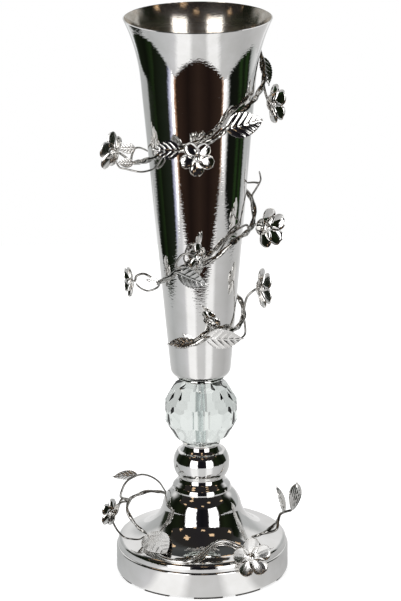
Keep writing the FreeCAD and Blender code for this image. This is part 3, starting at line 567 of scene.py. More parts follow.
def turned(name, profile, node, sharp=TURNED_SHARP):
    """A solid piece turned on the lathe."""
    shape = Shape()
    lathe(shape, profile)
    settle(shape.piece(name, [mirror_nickel], sharp), node)


def rounded_corner(corner, radius, start, finish, steps=7):
    """Places on a quarter turn about a corner's centre, between two angles in degrees."""
    return [(corner[0] + radius * math.cos(math.radians(start + (finish - start) * i / steps)),
             corner[1] + radius * math.sin(math.radians(start + (finish - start) * i / steps)))
            for i in range(steps + 1)]


def make_cup():
    floor = spaced((BORE, CUP_BOTTOM), CUP_FOOT, 3.0)
    heel = smooth(HEEL_LINE, 0.7)
    # The flare leaves the cone in line with it, from a little below the throat.
    lead = curve(THROAT, CUP_HIP, [(0.04, 0.04)])[1]
    cone = [place for place in spaced(CUP_HIP, THROAT, 4.0)[1:] if place[1] < lead[1] - 2]
    flare = smooth([lead] + MOUTH_LINE, 1.2)
    spun("cup_mirror_shell", floor + heel + cone + flare, "trumpet_cup", mirror_nickel,
         brushed_nickel)


def make_bell():
    edge = [(BRIM_RADIUS, SKIRT_TOP + 0.05), (BRIM_RADIUS, SKIRT_TOP + 1.3)]
    roll, body = smooth(BRIM_LINE, 0.5), smooth(BELL_LINE, 0.8)
    crown = spaced((BELL_CROWN - 0.4, BELL_TOP), (BORE, BELL_TOP), 4.0)
    spun("bell_mirror_shell", edge + roll + body[1:] + crown, "base_bell", mirror_nickel)


def make_skirt():
    inner = SKIRT_RADIUS - SKIRT_CORNER
    low, high = SKIRT_FOOT + SKIRT_CORNER, SKIRT_TOP - SKIRT_CORNER
    line = (spaced((SKIRT_RADIUS - SKIRT_HEM, SKIRT_FOOT), (inner, SKIRT_FOOT), 1.5)
            + rounded_corner((inner, low), SKIRT_CORNER, -90, 0)
            + spaced((SKIRT_RADIUS, low + 1), (SKIRT_RADIUS, high - 0.5), 2.0)
            + rounded_corner((inner, high), SKIRT_CORNER, 0, 90)
            + spaced((inner - 1, SKIRT_TOP), (SKIRT_RADIUS - SKIRT_FLANGE, SKIRT_TOP), 3.0))
    spun("skirt_mirror_shell", line, "base_skirt", mirror_nickel)


def make_neck():
    ogee = smooth(curve((BELL_CROWN, BELL_TOP + NECK_EDGE), (WAIST, NECK_TOP), OGEE), 0.4)
    foot = [(BORE, BELL_TOP), (BELL_CROWN - 0.25, BELL_TOP), (BELL_CROWN, BELL_TOP + 0.25),
            (BELL_CROWN, BELL_TOP + NECK_EDGE - 0.2)]
    turned("neck_ogee", foot + ogee + [(BORE, NECK_TOP)], "stem_neck")


def make_knop():
    bulge = [(KNOP_RADIUS * out, NECK_TOP + KNOP_HEIGHT * rise) for out, rise in KNOP]
    hollow = [(COLLAR_FOOT - (COLLAR_FOOT - COLLAR_THROAT) * run, KNOP_TOP + COLLAR_HEIGHT * rise)
              for run, rise in COLLAR]
    shoulder = (KNOP_SHOULDER, KNOP_TOP - NECK_EDGE * 0.5)
    knop = smooth([(WAIST, NECK_TOP)] + bulge + [shoulder], 0.5)
    step = [(KNOP_SHOULDER - 0.7, KNOP_TOP - 0.1), (COLLAR_FOOT + 0.3, KNOP_TOP)]
    collar = smooth([(COLLAR_FOOT, KNOP_TOP + 0.3)] + hollow[1:]
                    + [(COLLAR_LIP, COLLAR_TOP - 0.7)], 0.4)
    lip = [(COLLAR_LIP, COLLAR_TOP - 0.1), (COLLAR_LIP - 0.3, COLLAR_TOP), (BORE, COLLAR_TOP)]
    turned("knop_and_collar", [(BORE, NECK_TOP)] + knop + step + collar + lip, "stem_knop")


def make_seat_ring():
    profile = [(BORE, BALL_TOP), (SEAT_BOTTOM - 0.3, BALL_TOP), (SEAT_BOTTOM, BALL_TOP + 0.3),
               (SEAT_TOP - 0.1, CUP_BOTTOM - 0.5), (SEAT_TOP - 0.3, CUP_BOTTOM), (BORE, CUP_BOTTOM)]
    turned("seat_ring_band", profile, "cup_seat_ring", SEAT_SHARP)


make_cup()
make_bell()
make_skirt()
make_neck()
make_knop()
make_seat_ring()

# Rows of facets on the ball: slope from the equator in degrees, distance from its centre, number
# of facets, and the turn of the row in facets. The block it is cut from is larger.
FACET_ROWS = [(0, 29.6, 16, 0), (29, 30.0, 16, 0.5), (-29, 30.0, 16, 0.5), (56, 30.2, 8, 0.25),
              (-56, 30.2, 8, 0.25)]
UNCUT_BALL = 90


def plane_facets(block):
    """Planes a block down to the flat ends and the facets of the ball."""
    planes = [((0, 0, 1), BALL_HALF), ((0, 0, -1), BALL_HALF)]
    for slope, distance, count, turn in FACET_ROWS:
        out, up = math.cos(math.radians(slope)), math.sin(math.radians(slope))
        for facet in range(count):
            angle = 2 * math.pi * (facet + turn) / count
            planes.append(((out * math.sin(angle), -out * math.cos(angle), up), distance))
    for normal, distance in planes:
        cut = bmesh.ops.bisect_plane(
            block, geom=block.verts[:] + block.edges[:] + block.faces[:],
            plane_co=Vector(normal) * distance, plane_no=normal, clear_outer=True)
        edges = [edge for edge in cut["geom_cut"] if isinstance(edge, bmesh.types.BMEdge)]
        if edges:
            bmesh.ops.contextual_create(block, geom=edges)
    bmesh.ops.dissolve_limit(block, angle_limit=0.001, verts=block.verts[:], edges=block.edges[:])


def drill(block):
    """Bores a block through from flat end to flat end, for the rod."""
    mouths = []
    for end in (1, -1):
        flat = next(face for face in block.faces if face.normal.z * end > 0.999)
        corners = list(flat.verts)
        block.faces.remove(flat)
        mouth = []
        for corner in corners:
            inward = Vector((corner.co.x, corner.co.y, 0)).normalized() * BORE
            mouth.append(block.verts.new((inward.x, inward.y, corner.co.z)))
        for a in range(len(corners)):
            b = (a + 1) % len(corners)
            block.faces.new((corners[a], corners[b], mouth[b], mouth[a]))
        mouths.append(sorted(mouth, key=lambda corner: math.atan2(corner.co.y, corner.co.x)))
    top, low = mouths
    for a in range(len(low)):
        b = (a + 1) % len(low)
        block.faces.new((low[a], low[b], top[b], top[a]))
    bmesh.ops.recalc_face_normals(block, faces=block.faces[:])


def make_ball():
    """A cut ball: a block that every facet planes down, with flat ends and a bore for the rod."""
    block = bmesh.new()
    bmesh.ops.create_cube(block, size=UNCUT_BALL)
    plane_facets(block)
    drill(block)
    seat = Matrix.Scale(MM, 4) @ Matrix.Translation((0, 0, COLLAR_TOP + BALL_HALF))
    bmesh.ops.transform(block, matrix=seat, verts=block.verts[:])
    mesh = bpy.data.meshes.new("crystal_ball_cut")
    block.to_mesh(mesh)
    block.free()
    mesh.materials.append(cut_crystal)
    ball = bpy.data.objects.new("crystal_ball_cut", mesh)
    bpy.context.scene.collection.objects.link(ball)
    settle(ball, "crystal_ball")


make_ball()

# Hidden hardware and the pads keep the part's own solids, and take their real finish
KEPT = {
    "ballast_plate": zinc_steel, "base_washer": zinc_steel, "base_nut": zinc_steel,
    "tie_rod": bright_zinc, "cup_washer": zinc_steel, "cup_nut": zinc_steel,
    "cup_gasket": gasket_rubber, "foot_pads": pad_rubber}
for node, material in KEPT.items():
    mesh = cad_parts[node].data
    mesh.materials.clear()
    mesh.materials.append(material)

# Vine tables, with the places of the part: azimuth in degrees, then rise and reach by the cup, or
# spread and lift by the bell
UPPER_STEM = [
    (150, 0.915, 0.00), (136, 0.914, 0.01), (122, 0.905, 0.03), (110, 0.887, 0.06), (102, 0.860, 0.11),
    (95, 0.832, 0.13), (88, 0.813, 0.08), (80, 0.801, 0.01), (70, 0.796, 0.03), (60, 0.789, 0.04),
    (50, 0.778, 0.05), (38, 0.766, 0.07), (27, 0.736, 0.11), (17, 0.714, 0.11), (7, 0.700, 0.09),
    (-4, 0.688, 0.06), (-17, 0.677, 0.03), (-31, 0.666, 0.03), (-46, 0.650, 0.05), (-60, 0.632, 0.12),
    (-73, 0.619, 0.22), (-82, 0.610, 0.34), (-86, 0.604, 0.42)]
MIDDLE_STEM = [
    (247, 0.612, 0.04), (232, 0.602, 0.01), (216, 0.588, 0.01), (200, 0.574, 0.01), (184, 0.561, 0.01),
    (168, 0.549, 0.01), (152, 0.537, 0.01), (136, 0.526, 0.01), (120, 0.514, 0.02), (106, 0.503, 0.04),
    (97, 0.486, 0.12), (89, 0.456, 0.17), (80, 0.428, 0.14), (66, 0.421, 0.10), (52, 0.416, 0.09),
    (38, 0.404, 0.09), (26, 0.386, 0.10), (15, 0.368, 0.10), (3, 0.355, 0.08), (-12, 0.344, 0.07),
    (-28, 0.331, 0.07), (-43, 0.309, 0.05), (-60, 0.287, 0.07), (-76, 0.272, 0.13)]
LOWER_STEM = [
    (258, 0.262, 0.03), (240, 0.254, 0.01), (222, 0.246, 0.01), (204, 0.239, 0.01), (186, 0.231, 0.01),
    (168, 0.225, 0.01), (150, 0.220, 0.01), (132, 0.216, 0.01), (116, 0.212, 0.01), (105, 0.209, 0.03),
    (98, 0.194, 0.09), (92, 0.170, 0.13), (84, 0.156, 0.08), (71, 0.148, 0.04), (52, 0.150, 0.04),
    (34, 0.153, 0.05), (19, 0.150, 0.05), (6, 0.139, 0.05), (-8, 0.125, 0.04), (-24, 0.115, 0.04),
    (-42, 0.105, 0.04)]
LEFT_STEM = [
    (-125, 0.49, 0.02), (-119, 0.53, 0.22), (-112, 0.593, 0.372), (-106, 0.648, 0.47),
    (-100, 0.704, 0.541), (-92, 0.827, 0.58), (-86, 0.868, 0.568), (-80, 0.899, 0.502),
    (-76, 0.878, 0.38), (-72, 0.807, 0.196), (-70, 0.725, 0.03), (-63, 0.70, 0.00)]
RIGHT_STEM = [
    (56, 0.70, 0.00), (63, 0.729, 0.00), (66, 0.814, 0.12), (74, 0.887, 0.217), (80, 0.92, 0.30),
    (84, 0.935, 0.38)]
BACK_STEM = [
    (228, 0.58, 0.00), (221, 0.62, 0.02), (214, 0.68, 0.07), (207, 0.73, 0.12), (200, 0.77, 0.15),
    (192, 0.78, 0.15), (184, 0.77, 0.11), (176, 0.73, 0.05), (168, 0.68, 0.01), (160, 0.64, 0.00)]

# The line of each stem, twig and tendril, which carries others
paths = {}


def make_stem(node, table, where, thick, seed):
    paths[node] = [where(*row) for row in table]
    shape = Shape()
    tube(shape, smooth(paths[node], 0.8), gnarled_wire(thick, seed), STEM_SIDES)
    settle(shape.piece(node + "_bark", [stem_nickel], WIRE_SHARP), node)


make_stem("cup_stem_upper", UPPER_STEM, by_cup, STEM_WIRE, 1.3)
make_stem("cup_stem_middle", MIDDLE_STEM, by_cup, STEM_WIRE, 4.7)
make_stem("cup_stem_lower", LOWER_STEM, by_cup, STEM_WIRE, 8.1)
make_stem("base_stem_left", LEFT_STEM, by_bell, FOOT_WIRE, 11.9)
make_stem("base_stem_right", RIGHT_STEM, by_bell, FOOT_WIRE, 15.2)
make_stem("base_stem_back", BACK_STEM, by_bell, FOOT_WIRE, 19.4)


def make_twig(node, carrier, share, where, table, tip=0.65, thick=TWIG_WIRE * 1.3,
              metal_used=wire_nickel):
    """A wire from a share of its carrier's line. It lies closer than a stem of its thickness."""
    paths[node] = [along(paths[carrier], share)] + [where(*row, thick * 0.8) for row in table]
    shape = Shape()
    tube(shape, smooth(paths[node], 0.7), plain_wire(thick, tip), WIRE_SIDES)
    settle(shape.piece(node + "_wire", [metal_used], WIRE_SHARP), node)


make_twig("cup_tendril_end_loop", "cup_stem_upper", 0.795, by_cup, [
    (-51, 0.616, 0.09), (-64, 0.599, 0.13), (-74, 0.591, 0.30), (-80, 0.596, 0.62),
    (-82, 0.600, 0.78), (-84, 0.618, 0.84), (-85, 0.630, 0.76)])
make_twig("cup_tendril_back_upper", "cup_stem_upper", 0.985, by_cup, [
    (-86, 0.628, 0.40), (-87, 0.645, 0.30), (-92, 0.644, 0.20), (-101, 0.634, 0.11),
    (-110, 0.622, 0.07), (-116, 0.612, 0.05)])
make_twig("cup_twig_fork", "cup_stem_middle", 0.47, by_cup, [
    (92, 0.506, 0.13), (90, 0.525, 0.20), (90, 0.543, 0.29), (89, 0.556, 0.32), (88, 0.579, 0.26)])
make_twig("cup_tendril_fork_arm", "cup_twig_fork", 0.62, by_cup, [
    (96, 0.542, 0.16), (103, 0.537, 0.05), (110, 0.533, 0.02)])
make_twig("cup_tendril_strand", "cup_stem_middle", 0.545, by_cup, [
    (74, 0.437, 0.10), (60, 0.440, 0.06), (46, 0.432, 0.03), (34, 0.408, 0.02), (24, 0.383, 0.03)])
make_twig("cup_tendril_left_loop", "cup_stem_middle", 0.96, by_cup, [
    (-73, 0.263, 0.13), (-78, 0.252, 0.35), (-82, 0.254, 0.50), (-84, 0.263, 0.62), (-84, 0.270, 0.66)])
make_twig("cup_tendril_low", "cup_stem_lower", 0.555, by_cup, [
    (88, 0.145, 0.24), (84, 0.122, 0.27), (78, 0.114, 0.20), (70, 0.115, 0.15), (58, 0.122, 0.10),
    (48, 0.128, 0.08)])
make_twig("base_tendril_high_loop", "base_stem_left", 0.50, by_bell, [
    (-88, 0.959, 0.68), (-90, 0.946, 0.785), (-93, 0.907, 0.876), (-98, 0.844, 0.911),
    (-105, 0.748, 0.882), (-112, 0.659, 0.740), (-120, 0.589, 0.519), (-128, 0.574, 0.324),
    (-134, 0.56, 0.15), (-138, 0.55, 0.00)])
make_twig("base_tendril_low_loop", "base_stem_left", 0.54, by_bell, [
    (-81, 0.98, 0.66), (-78, 1.08, 0.60), (-75, 1.10, 0.52), (-72, 1.098, 0.46), (-68, 1.068, 0.35),
    (-62, 1.027, 0.278), (-60, 0.963, 0.164), (-62, 0.84, 0.07), (-66, 0.75, 0.02)])
make_twig("base_wire_front", "base_stem_left", 0.97, by_bell, [
    (-50, 0.78, 0.00), (-38, 0.88, 0.00), (-28, 0.945, 0.00), (-19, 0.965, 0.00), (-11, 0.955, 0.00),
    (-5, 0.88, 0.00), (1, 0.77, 0.00), (10, 0.68, 0.01), (21, 0.655, 0.01), (30, 0.69, 0.00),
    (37, 0.77, 0.00), (43, 0.80, 0.00)], tip=0.95, thick=1.5, metal_used=satin_nickel)
make_twig("base_twig_right", "base_stem_right", 0.30, by_bell, [
    (70, 0.93, 0.20), (75, 0.935, 0.33), (78, 0.945, 0.41), (82, 0.983, 0.455),
    (86, 1.072, 0.52)], tip=0.9, thick=1.2)


def make_leaf(node, carrier, share, scale, forward, facing, veins=6, fringe=0.16, wide=1.0,
              relief=1.0, pleats=0, metal_used=leaf_nickel):
    """A leaf at a share of its carrier's line. Forward is where it points, facing is its front."""
    base = along(paths[carrier], share)
    length, width = LEAF_LENGTH * scale, LEAF_WIDTH * scale * wide
    shape = Shape()
    points, faces = blade_grid(base, local(base, *forward), local(base, *facing), length, width,
                               LEAF_ROWS, LEAF_COLUMNS,
                               leaf_form(length, width, veins, fringe, relief, pleats))
    shape.add(points, faces)
    settle(shape.piece(node + "_stamping", [metal_used], STAMPED_SHARP), node)


make_leaf("cup_leaf_top", "cup_stem_upper", 0.15, 0.95, (0.10, -0.25, -1.0), (0.6, -1.0, 0.0))
make_leaf("cup_leaf_veined", "cup_stem_upper", 0.55, 1.25, (0.15, 1.0, 0.16), (0.9, -0.50, 0.26),
          fringe=0.05, wide=1.12, relief=0.9)
make_leaf("cup_leaf_left", "cup_stem_upper", 0.735, 0.85, (0.22, -0.95, 0.02), (1.0, 0.2, 0.20),
          veins=5, wide=1.25)
make_leaf("cup_leaf_end_upper", "cup_tendril_back_upper", 0.33, 0.62, (1.0, 0.15, 0.10),
          (0.33, 1.0, 0.40), relief=0.8, metal_used=satin_nickel)
make_leaf("cup_leaf_end_lower", "cup_stem_upper", 0.96, 0.55, (1.0, 0.20, 0.10),
          (0.45, 1.0, 0.4), relief=0.8, metal_used=satin_nickel)
make_leaf("cup_leaf_broad", "cup_stem_middle", 0.87, 1.20, (0.05, 1.0, -0.20),
          (0.95, 0.15, -0.12), relief=0.6, metal_used=satin_nickel)
make_leaf("cup_leaf_small", "cup_stem_middle", 0.97, 0.45, (0.60, -0.7, 0.10), (0.7, 0.7, 0.2),
          relief=0.5)
make_leaf("cup_leaf_large", "cup_stem_lower", 0.84, 1.22, (0.20, 1.0, 0.02), (1.0, -0.2, -0.14),
          fringe=0.08, relief=0.6, metal_used=satin_nickel)
make_leaf("cup_leaf_end", "cup_stem_lower", 0.91, 0.85, (0.12, -1.0, -0.12), (0.45, 0.1, 1.0))
make_leaf("cup_leaf_back_upper", "cup_stem_middle", 0.20, 1.05, (0.25, 1.0, 0.45),
          (1.0, -0.2, 0.25))
make_leaf("cup_leaf_back_lower", "cup_stem_lower", 0.22, 1.0, (0.25, -1.0, 0.40),
          (1.0, 0.2, 0.3))
make_leaf("base_leaf_light", "base_stem_left", 0.985, 1.60, (0.02, 1.0, -0.13),
          (0.42, 0.05, 1.0), fringe=0.06, relief=0.55, metal_used=satin_nickel)
make_leaf("base_leaf_loop", "base_tendril_high_loop", 0.46, 0.85, (1.0, 0.0, -0.22),
          (0.1, 0.30, 1.0))
make_leaf("base_leaf_edge", "base_twig_right", 0.78, 0.95, (-0.42, 0.10, 1.0),
          (1.0, -0.15, 0.40))
make_leaf("base_leaf_fan", "base_twig_right", 0.99, 0.95, (0.14, 0.42, 1.0), (0.85, -0.50, 0.10),
          veins=5, fringe=0.05, wide=1.35, relief=0.4, pleats=6)
make_leaf("base_leaf_back", "base_stem_back", 0.35, 1.0, (0.45, -0.6, 0.15), (0.3, 0.1, 1.0))

# A bead on a low collar, as (radius, height) shares of the bead's radius
BEAD_PROFILE = [(1.45, 0.0), (1.50, 0.28), (1.32, 0.46), (0.92, 0.50), (0.80, 0.66), (0.98, 0.94),
                (1.06, 1.22), (0.98, 1.52), (0.72, 1.78), (0.36, 1.92), (0.04, 1.96)]


def make_flower(node, carrier, share, where, middle, facing, scale, bends=(), turn=0,
                metal_used=petal_nickel):
    """Five petals round a bead, on a wire stalk that bends from a share of its carrier's line."""
    heart = where(*middle)
    axis = local(heart, *facing)
    flat = axis.cross(Vector((0, 0, 1))).normalized()
    radius, width = FLOWER_RADIUS * scale, PETAL_WIDTH * scale
    shape = Shape()
    bead(shape, heart, axis, [(BEAD * out, BEAD * rise) for out, rise in BEAD_PROFILE])
    for petal in range(5):
        arm = Matrix.Rotation(math.radians(turn + 72 * petal), 3, axis) @ flat
        root = heart - axis * PETAL_STEP * (petal % 2)
        points, faces = blade_grid(root, arm, axis, radius, width, PETAL_ROWS, PETAL_COLUMNS,
                                   petal_form(radius, width, petal + heart.x))
        shape.add(points, faces)
    stalk = [along(paths[carrier], share)] + [where(*bend) for bend in bends]
    stalk += [heart - axis * (TWIG_WIRE * 3), heart + axis * (TWIG_WIRE * 1.5)]
    tube(shape, smooth(stalk, 0.7), plain_wire(TWIG_WIRE * 1.35), STALK_SIDES, kind=1)
    settle(shape.piece(node + "_petals", [metal_used, wire_nickel], STAMPED_SHARP),
           node)


make_flower("cup_flower_right_upper", "cup_stem_upper", 0.25, by_cup, (86, 0.767, 0.39),
            (0.9, -0.42, 0.1), 1.14, [(87, 0.797, 0.18), (86, 0.776, 0.27)], turn=54)
make_flower("cup_flower_front_upper", "cup_stem_upper", 0.68, by_cup, (-1, 0.663, 0.33),
            (1.0, -0.12, 0.22), 1.0, [(0, 0.672, 0.14)], turn=18)
make_flower("cup_flower_left_upper", "cup_stem_upper", 0.99, by_cup, (-84, 0.641, 0.80),
            (0.84, 0.32, 0.36), 1.14, [(-84, 0.622, 0.50), (-84, 0.636, 0.66)], turn=10,
            metal_used=satin_nickel)
make_flower("cup_flower_right_middle", "cup_stem_middle", 0.52, by_cup, (74, 0.434, 0.60),
            (0.85, -0.51, 0.1), 1.18, [(78, 0.440, 0.34)], turn=54)
make_flower("cup_flower_front_middle", "cup_stem_middle", 0.84, by_cup, (0, 0.386, 0.34),
            (0.50, -0.80, 0.30), 0.80, [(-27, 0.350, 0.20), (-20, 0.383, 0.26), (-12, 0.392, 0.26)])
make_flower("cup_flower_left_middle", "cup_stem_middle", 0.985, by_cup, (-84, 0.277, 0.70),
            (1.0, 0.2, 0.0), 0.90, [(-75, 0.296, 0.26), (-81, 0.299, 0.40), (-84, 0.290, 0.58)],
            turn=40)
make_flower("cup_flower_right_lower", "cup_stem_lower", 0.55, by_cup, (84, 0.252, 0.50),
            (0.92, -0.25, 0.15), 1.18, [(88, 0.198, 0.13), (85, 0.226, 0.18), (84, 0.242, 0.30)],
            turn=54, metal_used=satin_nickel)
make_flower("cup_flower_front_lower", "cup_stem_lower", 0.83, by_cup, (11, 0.193, 0.18),
            (0.5, 0.5, 0.7), 0.66, [(14, 0.170, 0.10)])
make_flower("cup_flower_back", "cup_stem_lower", 0.22, by_cup, (196, 0.290, 0.40),
            (1.0, 0.1, 0.2), 1.0, [(205, 0.262, 0.18)], turn=25)
make_flower("base_flower_left", "base_stem_left", 0.54, by_bell, (-78, 1.075, 0.56),
            (0.88, 0.26, 0.45), 0.84, [(-83, 0.95, 0.67), (-80, 1.01, 0.62)])
make_flower("base_flower_front", "base_stem_right", 0.08, by_bell, (34, 1.01, 0.09),
            (0.80, -0.24, 0.20), 1.18, [(44, 0.80, 0.03)], turn=54, metal_used=satin_nickel)
make_flower("base_flower_back", "base_stem_back", 0.62, by_bell, (186, 0.90, 0.22),
            (0.8, 0.1, 0.55), 0.9, [(188, 0.84, 0.18)], turn=10)

# Table, room and lamps. The table's edges show in the metal, as the border between the pale table
# and the dark room.
TABLE_LEFT_M, TABLE_RIGHT_M, TABLE_FRONT_M, TABLE_BACK_M = -0.58, 0.70, -0.51, 0.95
TABLE_ROWS, TABLE_COLUMNS, TABLE_GLOW = 28, 24, 0.42
LAMP_AIM_M = (0, 0, 0.2)


def around_stops(stops):
    """Ramp stops from azimuths in degrees."""
    return [((azimuth + 180) / 360, code) for azimuth, code in stops]


def azimuth_share(tree, where):
    """The azimuth of a direction or a place, as a share of a full turn from the back."""
    front = add(tree, "ShaderNodeMath", {0: where["Y"], 1: -1.0}, operation="MULTIPLY").outputs[0]
    turn = add(tree, "ShaderNodeMath", {0: where["X"], 1: front}, operation="ARCTAN2").outputs[0]
    return add(tree, "ShaderNodeMapRange", {
        "Value": turn, "From Min": -math.pi, "From Max": math.pi}).outputs["Result"]


def make_table():
    """A white table top. A little light of its own keeps it white, and the vase shades it."""
    shape = Shape()
    across, deep = TABLE_RIGHT_M - TABLE_LEFT_M, TABLE_BACK_M - TABLE_FRONT_M
    points = [((TABLE_LEFT_M + across * column / TABLE_COLUMNS) / MM,
               (TABLE_FRONT_M + deep * row / TABLE_ROWS) / MM, 0)
              for row in range(TABLE_ROWS + 1) for column in range(TABLE_COLUMNS + 1)]
    shape.add(points, band(TABLE_ROWS + 1, TABLE_COLUMNS + 1, False))
    material, tree = new_material("white_table")
    light = add(tree, "ShaderNodeLightPath").outputs
    matt = add(tree, "ShaderNodeBsdfDiffuse", {"Color": linear("#DEDEDE")}).outputs["BSDF"]
    lit = add(tree, "ShaderNodeEmission", {
        "Color": linear("#FFFFFF"), "Strength": TABLE_GLOW}).outputs["Emission"]
    both = add(tree, "ShaderNodeAddShader", {0: matt, 1: lit}).outputs["Shader"]
    # Seen in the metal, the table is a painted glow instead of its lit surface: grey, with a painted
    # pool of light from each window across it, emitted only to glossy rays.
    where = add(tree, "ShaderNodeSeparateXYZ", {
        "Vector": add(tree, "ShaderNodeTexCoord").outputs["Object"]}).outputs
    painted_light_pools = add(tree, "ShaderNodeValToRGB", {"Fac": azimuth_share(tree, where)}, around_stops([
        (-180, "#F4F4F4"), (-142, "#CACBCB"), (-100, "#B2B4B4"), (-60, "#C4C5C6"),
        (-48, "#D0D0D2"), (-40, "#FDFDFD"), (-18, "#FFFFFF"), (-10, "#D2D2D2"), (14, "#CECECE"),
        (22, "#FAFAFA"), (38, "#FAFAFA"), (47, "#C8C8C8"), (95, "#B4B4B4"), (140, "#CACACA"),
        (170, "#F2F2F2")])).outputs["Color"]
    seen = add(tree, "ShaderNodeEmission", {"Color": painted_light_pools, "Strength": 1.0}).outputs["Emission"]
    mirrored = add(tree, "ShaderNodeMixShader", {
        0: light["Is Glossy Ray"], 1: both, 2: seen}).outputs[0]
    add(tree, "ShaderNodeOutputMaterial", {"Surface": mirrored})
    shape.piece("white_table_top", [material], TABLE_SHARP)


# Bands of the room by azimuth: below the table's height, at window height, and the ceiling
LOW_BANDS = [
    (-180, "#F4F4F4"), (-152, "#E4E8EA"), (-147, "#3A4238"), (-140, "#161B12"), (-118, "#0E120B"),
    (-103, "#1C2915"), (-99, "#11160D"), (-80, "#1B2118"), (-67, "#22261F"), (-64, "#9A9CB4"),
    (-60, "#DCDDF0"), (-56, "#FFFFFF"), (-53, "#FFFFFF"), (-50, "#C79A7A"), (-47, "#33251E"),
    (-22, "#1C1411"), (0, "#2E221C"), (22, "#1E1512"), (49, "#33261F"), (52, "#C7A58C"),
    (54, "#FFFFFF"), (62, "#F4F4F4"), (66, "#8A8C8A"), (69, "#10120F"), (88, "#12150F"),
    (96, "#22351A"), (103, "#10140D"), (112, "#22351A"), (119, "#141910"), (124, "#A8ACAA"),
    (136, "#D4D5D5"), (160, "#F2F2F2")]
HIGH_BANDS = [
    (-180, "#F6F6F6"), (-171, "#D8D9D9"), (-156, "#B4B6B6"), (-128, "#AEB0B0"), (-121, "#2A3026"),
    (-96, "#10140D"), (-70, "#181E12"), (-49, "#16140F"), (-46, "#FFFFFF"), (-17, "#FFFFFF"),
    (-15, "#1C1B20"), (0, "#141418"), (18, "#1C1A1E"), (21, "#FFFFFF"), (47, "#FFFFFF"),
    (50, "#15160F"), (66, "#1B2214"), (92, "#0F130C"), (117, "#20261B"), (122, "#B2B4B4"),
    (152, "#B8BABA"), (168, "#DCDCDC")]
CEILING_BANDS = [
    (-180, "#37383A"), (-130, "#484A4A"), (-90, "#2A2826"), (0, "#262426"), (90, "#2A2826"),
    (130, "#484A4A")]

# Borders in the room: the axis of a direction, and where on it the change starts and ends
ROOM_BORDERS = {
    "window_foot": ("Z", -0.35, -0.33), "backdrop_rise": ("Z", 0.28, 0.50),
    "backdrop_side": ("Y", 0.2, 0.6), "behind": ("Y", -0.1, 0.1)}
CEILING_EDGE = (0.515, 0.55)
BACKDROP_RISE = 0.20
LAMP_SPACING, LAMP_EDGE = 1.3, (0.13, 0.11)
# How much brighter than white the windows are, and how much the room pales through the crystal
WINDOW_LIFT, CRYSTAL_PALE = 1.7, 0.74


def ceiling_lamps(tree, where):
    """A share that is 1 in the small ceiling lamps, which are square as seen from below."""
    overhead = add(tree, "ShaderNodeMath", {0: where["Z"], 1: 0.2}, operation="MAXIMUM").outputs[0]
    across, ahead = (
        add(tree, "ShaderNodeMath", {0: where[axis], 1: overhead}, operation="DIVIDE").outputs[0]
        for axis in "XY")
    plane = add(tree, "ShaderNodeCombineXYZ", {"X": across, "Y": ahead}).outputs["Vector"]
    cells = add(tree, "ShaderNodeTexVoronoi", {
        "Vector": plane, "Scale": LAMP_SPACING, "Randomness": 0.8},
        distance="CHEBYCHEV", voronoi_dimensions="2D").outputs["Distance"]
    return add(tree, "ShaderNodeMapRange", {
        "Value": cells, "From Min": LAMP_EDGE[0], "From Max": LAMP_EDGE[1]},
        interpolation_type="SMOOTHSTEP").outputs["Result"]


def room_colour(tree, where):
    """The room's colour in each direction: walls with two windows, backdrop, ceiling and lamps."""
    turn = azimuth_share(tree, where)
    low, high, ceiling = (
        add(tree, "ShaderNodeValToRGB", {"Fac": turn}, around_stops(bands)).outputs["Color"]
        for bands in (LOW_BANDS, HIGH_BANDS, CEILING_BANDS))
    past = {name: add(tree, "ShaderNodeMapRange", {
        "Value": where[axis], "From Min": start, "From Max": finish},
        interpolation_type="SMOOTHSTEP").outputs["Result"]
        for name, (axis, start, finish) in ROOM_BORDERS.items()}
    # The backdrop is grey near the table and paler above it
    above = add(tree, "ShaderNodeMath", {
        0: past["backdrop_rise"], 1: past["backdrop_side"]}, operation="MULTIPLY").outputs[0]
    high = add(tree, "ShaderNodeMix", {
        0: above, 6: high, 7: linear("#E8E8E8")}, data_type="RGBA").outputs[2]
    ceiling = add(tree, "ShaderNodeMix", {
        0: ceiling_lamps(tree, where), 6: ceiling, 7: linear("#F2CFA6")},
        data_type="RGBA").outputs[2]
    wall = add(tree, "ShaderNodeMix", {
        0: past["window_foot"], 6: low, 7: high}, data_type="RGBA").outputs[2]
    # Behind the vase the white backdrop reaches higher than the windows do in front
    raised = add(tree, "ShaderNodeMath", {
        0: past["behind"], 1: BACKDROP_RISE}, operation="MULTIPLY").outputs[0]
    height = add(tree, "ShaderNodeMath", {
        0: where["Z"], 1: raised}, operation="SUBTRACT").outputs[0]
    overhead = add(tree, "ShaderNodeMapRange", {
        "Value": height, "From Min": CEILING_EDGE[0], "From Max": CEILING_EDGE[1]},
        interpolation_type="SMOOTHSTEP").outputs["Result"]
    return add(tree, "ShaderNodeMix", {
        0: overhead, 6: wall, 7: ceiling}, data_type="RGBA").outputs[2]


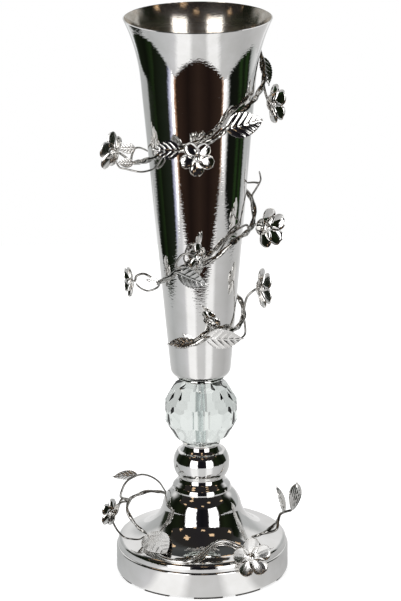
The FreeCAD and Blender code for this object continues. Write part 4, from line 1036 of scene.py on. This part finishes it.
def make_room():
    """White behind the vase, and in its metal the room in front of it with two windows."""
    world = bpy.data.worlds.new("studio_room")
    bpy.context.scene.world = world
    world.use_nodes = True
    tree = world.node_tree
    tree.nodes.clear()
    where = add(tree, "ShaderNodeSeparateXYZ", {
        "Vector": add(tree, "ShaderNodeTexCoord").outputs["Generated"]}).outputs
    seen = room_colour(tree, where)
    light = add(tree, "ShaderNodeLightPath").outputs
    through = light["Is Transmission Ray"]
    # The windows are brighter than white paper, so their light spreads in the brushed metal.
    bright = add(tree, "ShaderNodeRGBToBW", {"Color": seen}).outputs["Val"]
    window = add(tree, "ShaderNodeMapRange", {
        "Value": bright, "From Min": 0.92, "From Max": 1.0},
        interpolation_type="SMOOTHSTEP").outputs["Result"]
    lift = add(tree, "ShaderNodeMath", {
        0: through, 1: -WINDOW_LIFT, 2: WINDOW_LIFT}, operation="MULTIPLY_ADD").outputs[0]
    strength = add(tree, "ShaderNodeMath", {
        0: window, 1: lift, 2: 1.0}, operation="MULTIPLY_ADD").outputs[0]
    pale = add(tree, "ShaderNodeMix", {
        0: CRYSTAL_PALE, 6: seen, 7: linear("#FFFFFF")}, data_type="RGBA").outputs[2]
    seen = add(tree, "ShaderNodeMix", {
        0: through, 6: seen, 7: pale}, data_type="RGBA").outputs[2]
    plain = add(tree, "ShaderNodeMath", {
        0: light["Is Camera Ray"], 1: light["Is Diffuse Ray"]}, operation="MAXIMUM").outputs[0]
    room = add(tree, "ShaderNodeBackground", {"Color": seen, "Strength": strength}).outputs[0]
    white = add(tree, "ShaderNodeBackground", {
        "Color": linear("#FFFFFF"), "Strength": 1.0}).outputs[0]
    both = add(tree, "ShaderNodeMixShader", {0: plain, 1: room, 2: white}).outputs[0]
    add(tree, "ShaderNodeOutputWorld", {"Surface": both})


def make_lamp(name, place, size, power):
    """A round soft lamp that points at the vase, and isn't seen in the metal or the crystal."""
    data = bpy.data.lights.new(name, "AREA")
    data.shape, data.size, data.energy = "DISK", size, power
    lamp = bpy.data.objects.new(name, data)
    bpy.context.scene.collection.objects.link(lamp)
    lamp.location = place
    aim = Vector(LAMP_AIM_M) - Vector(place)
    lamp.rotation_euler = aim.to_track_quat("-Z", "Y").to_euler()
    lamp.visible_glossy = False
    lamp.visible_transmission = False


make_table()
make_room()
make_lamp("soft_box_left", (-1.2, -0.9, 1.6), 1.0, 9)
make_lamp("soft_box_right", (1.3, -0.6, 1.5), 1.0, 6)

# Camera, fitted to the photograph: pitched down, with a slight roll
PHOTO_HEIGHT_PX, FOCAL_PX, SENSOR_MM = 601, 3054.7, 36
CAMERA_PLACE_M, CAMERA_PITCH_DEG, CAMERA_ROLL_DEG = (0.0003, -2.3917, 0.998), 17.68, 0.476
camera_data = bpy.data.cameras.new("camera")
camera_data.sensor_fit = "VERTICAL"
camera_data.sensor_height = SENSOR_MM
camera_data.lens = FOCAL_PX * SENSOR_MM / PHOTO_HEIGHT_PX
camera = bpy.data.objects.new("camera", camera_data)
bpy.context.scene.collection.objects.link(camera)
tilt = Matrix.Rotation(math.radians(90 - CAMERA_PITCH_DEG), 4, "X")
roll = Matrix.Rotation(math.radians(-CAMERA_ROLL_DEG), 4, "Z")
camera.matrix_world = Matrix.Translation(CAMERA_PLACE_M) @ tilt @ roll
bpy.context.scene.camera = camera
bpy.context.scene.view_settings.view_transform = "Standard"
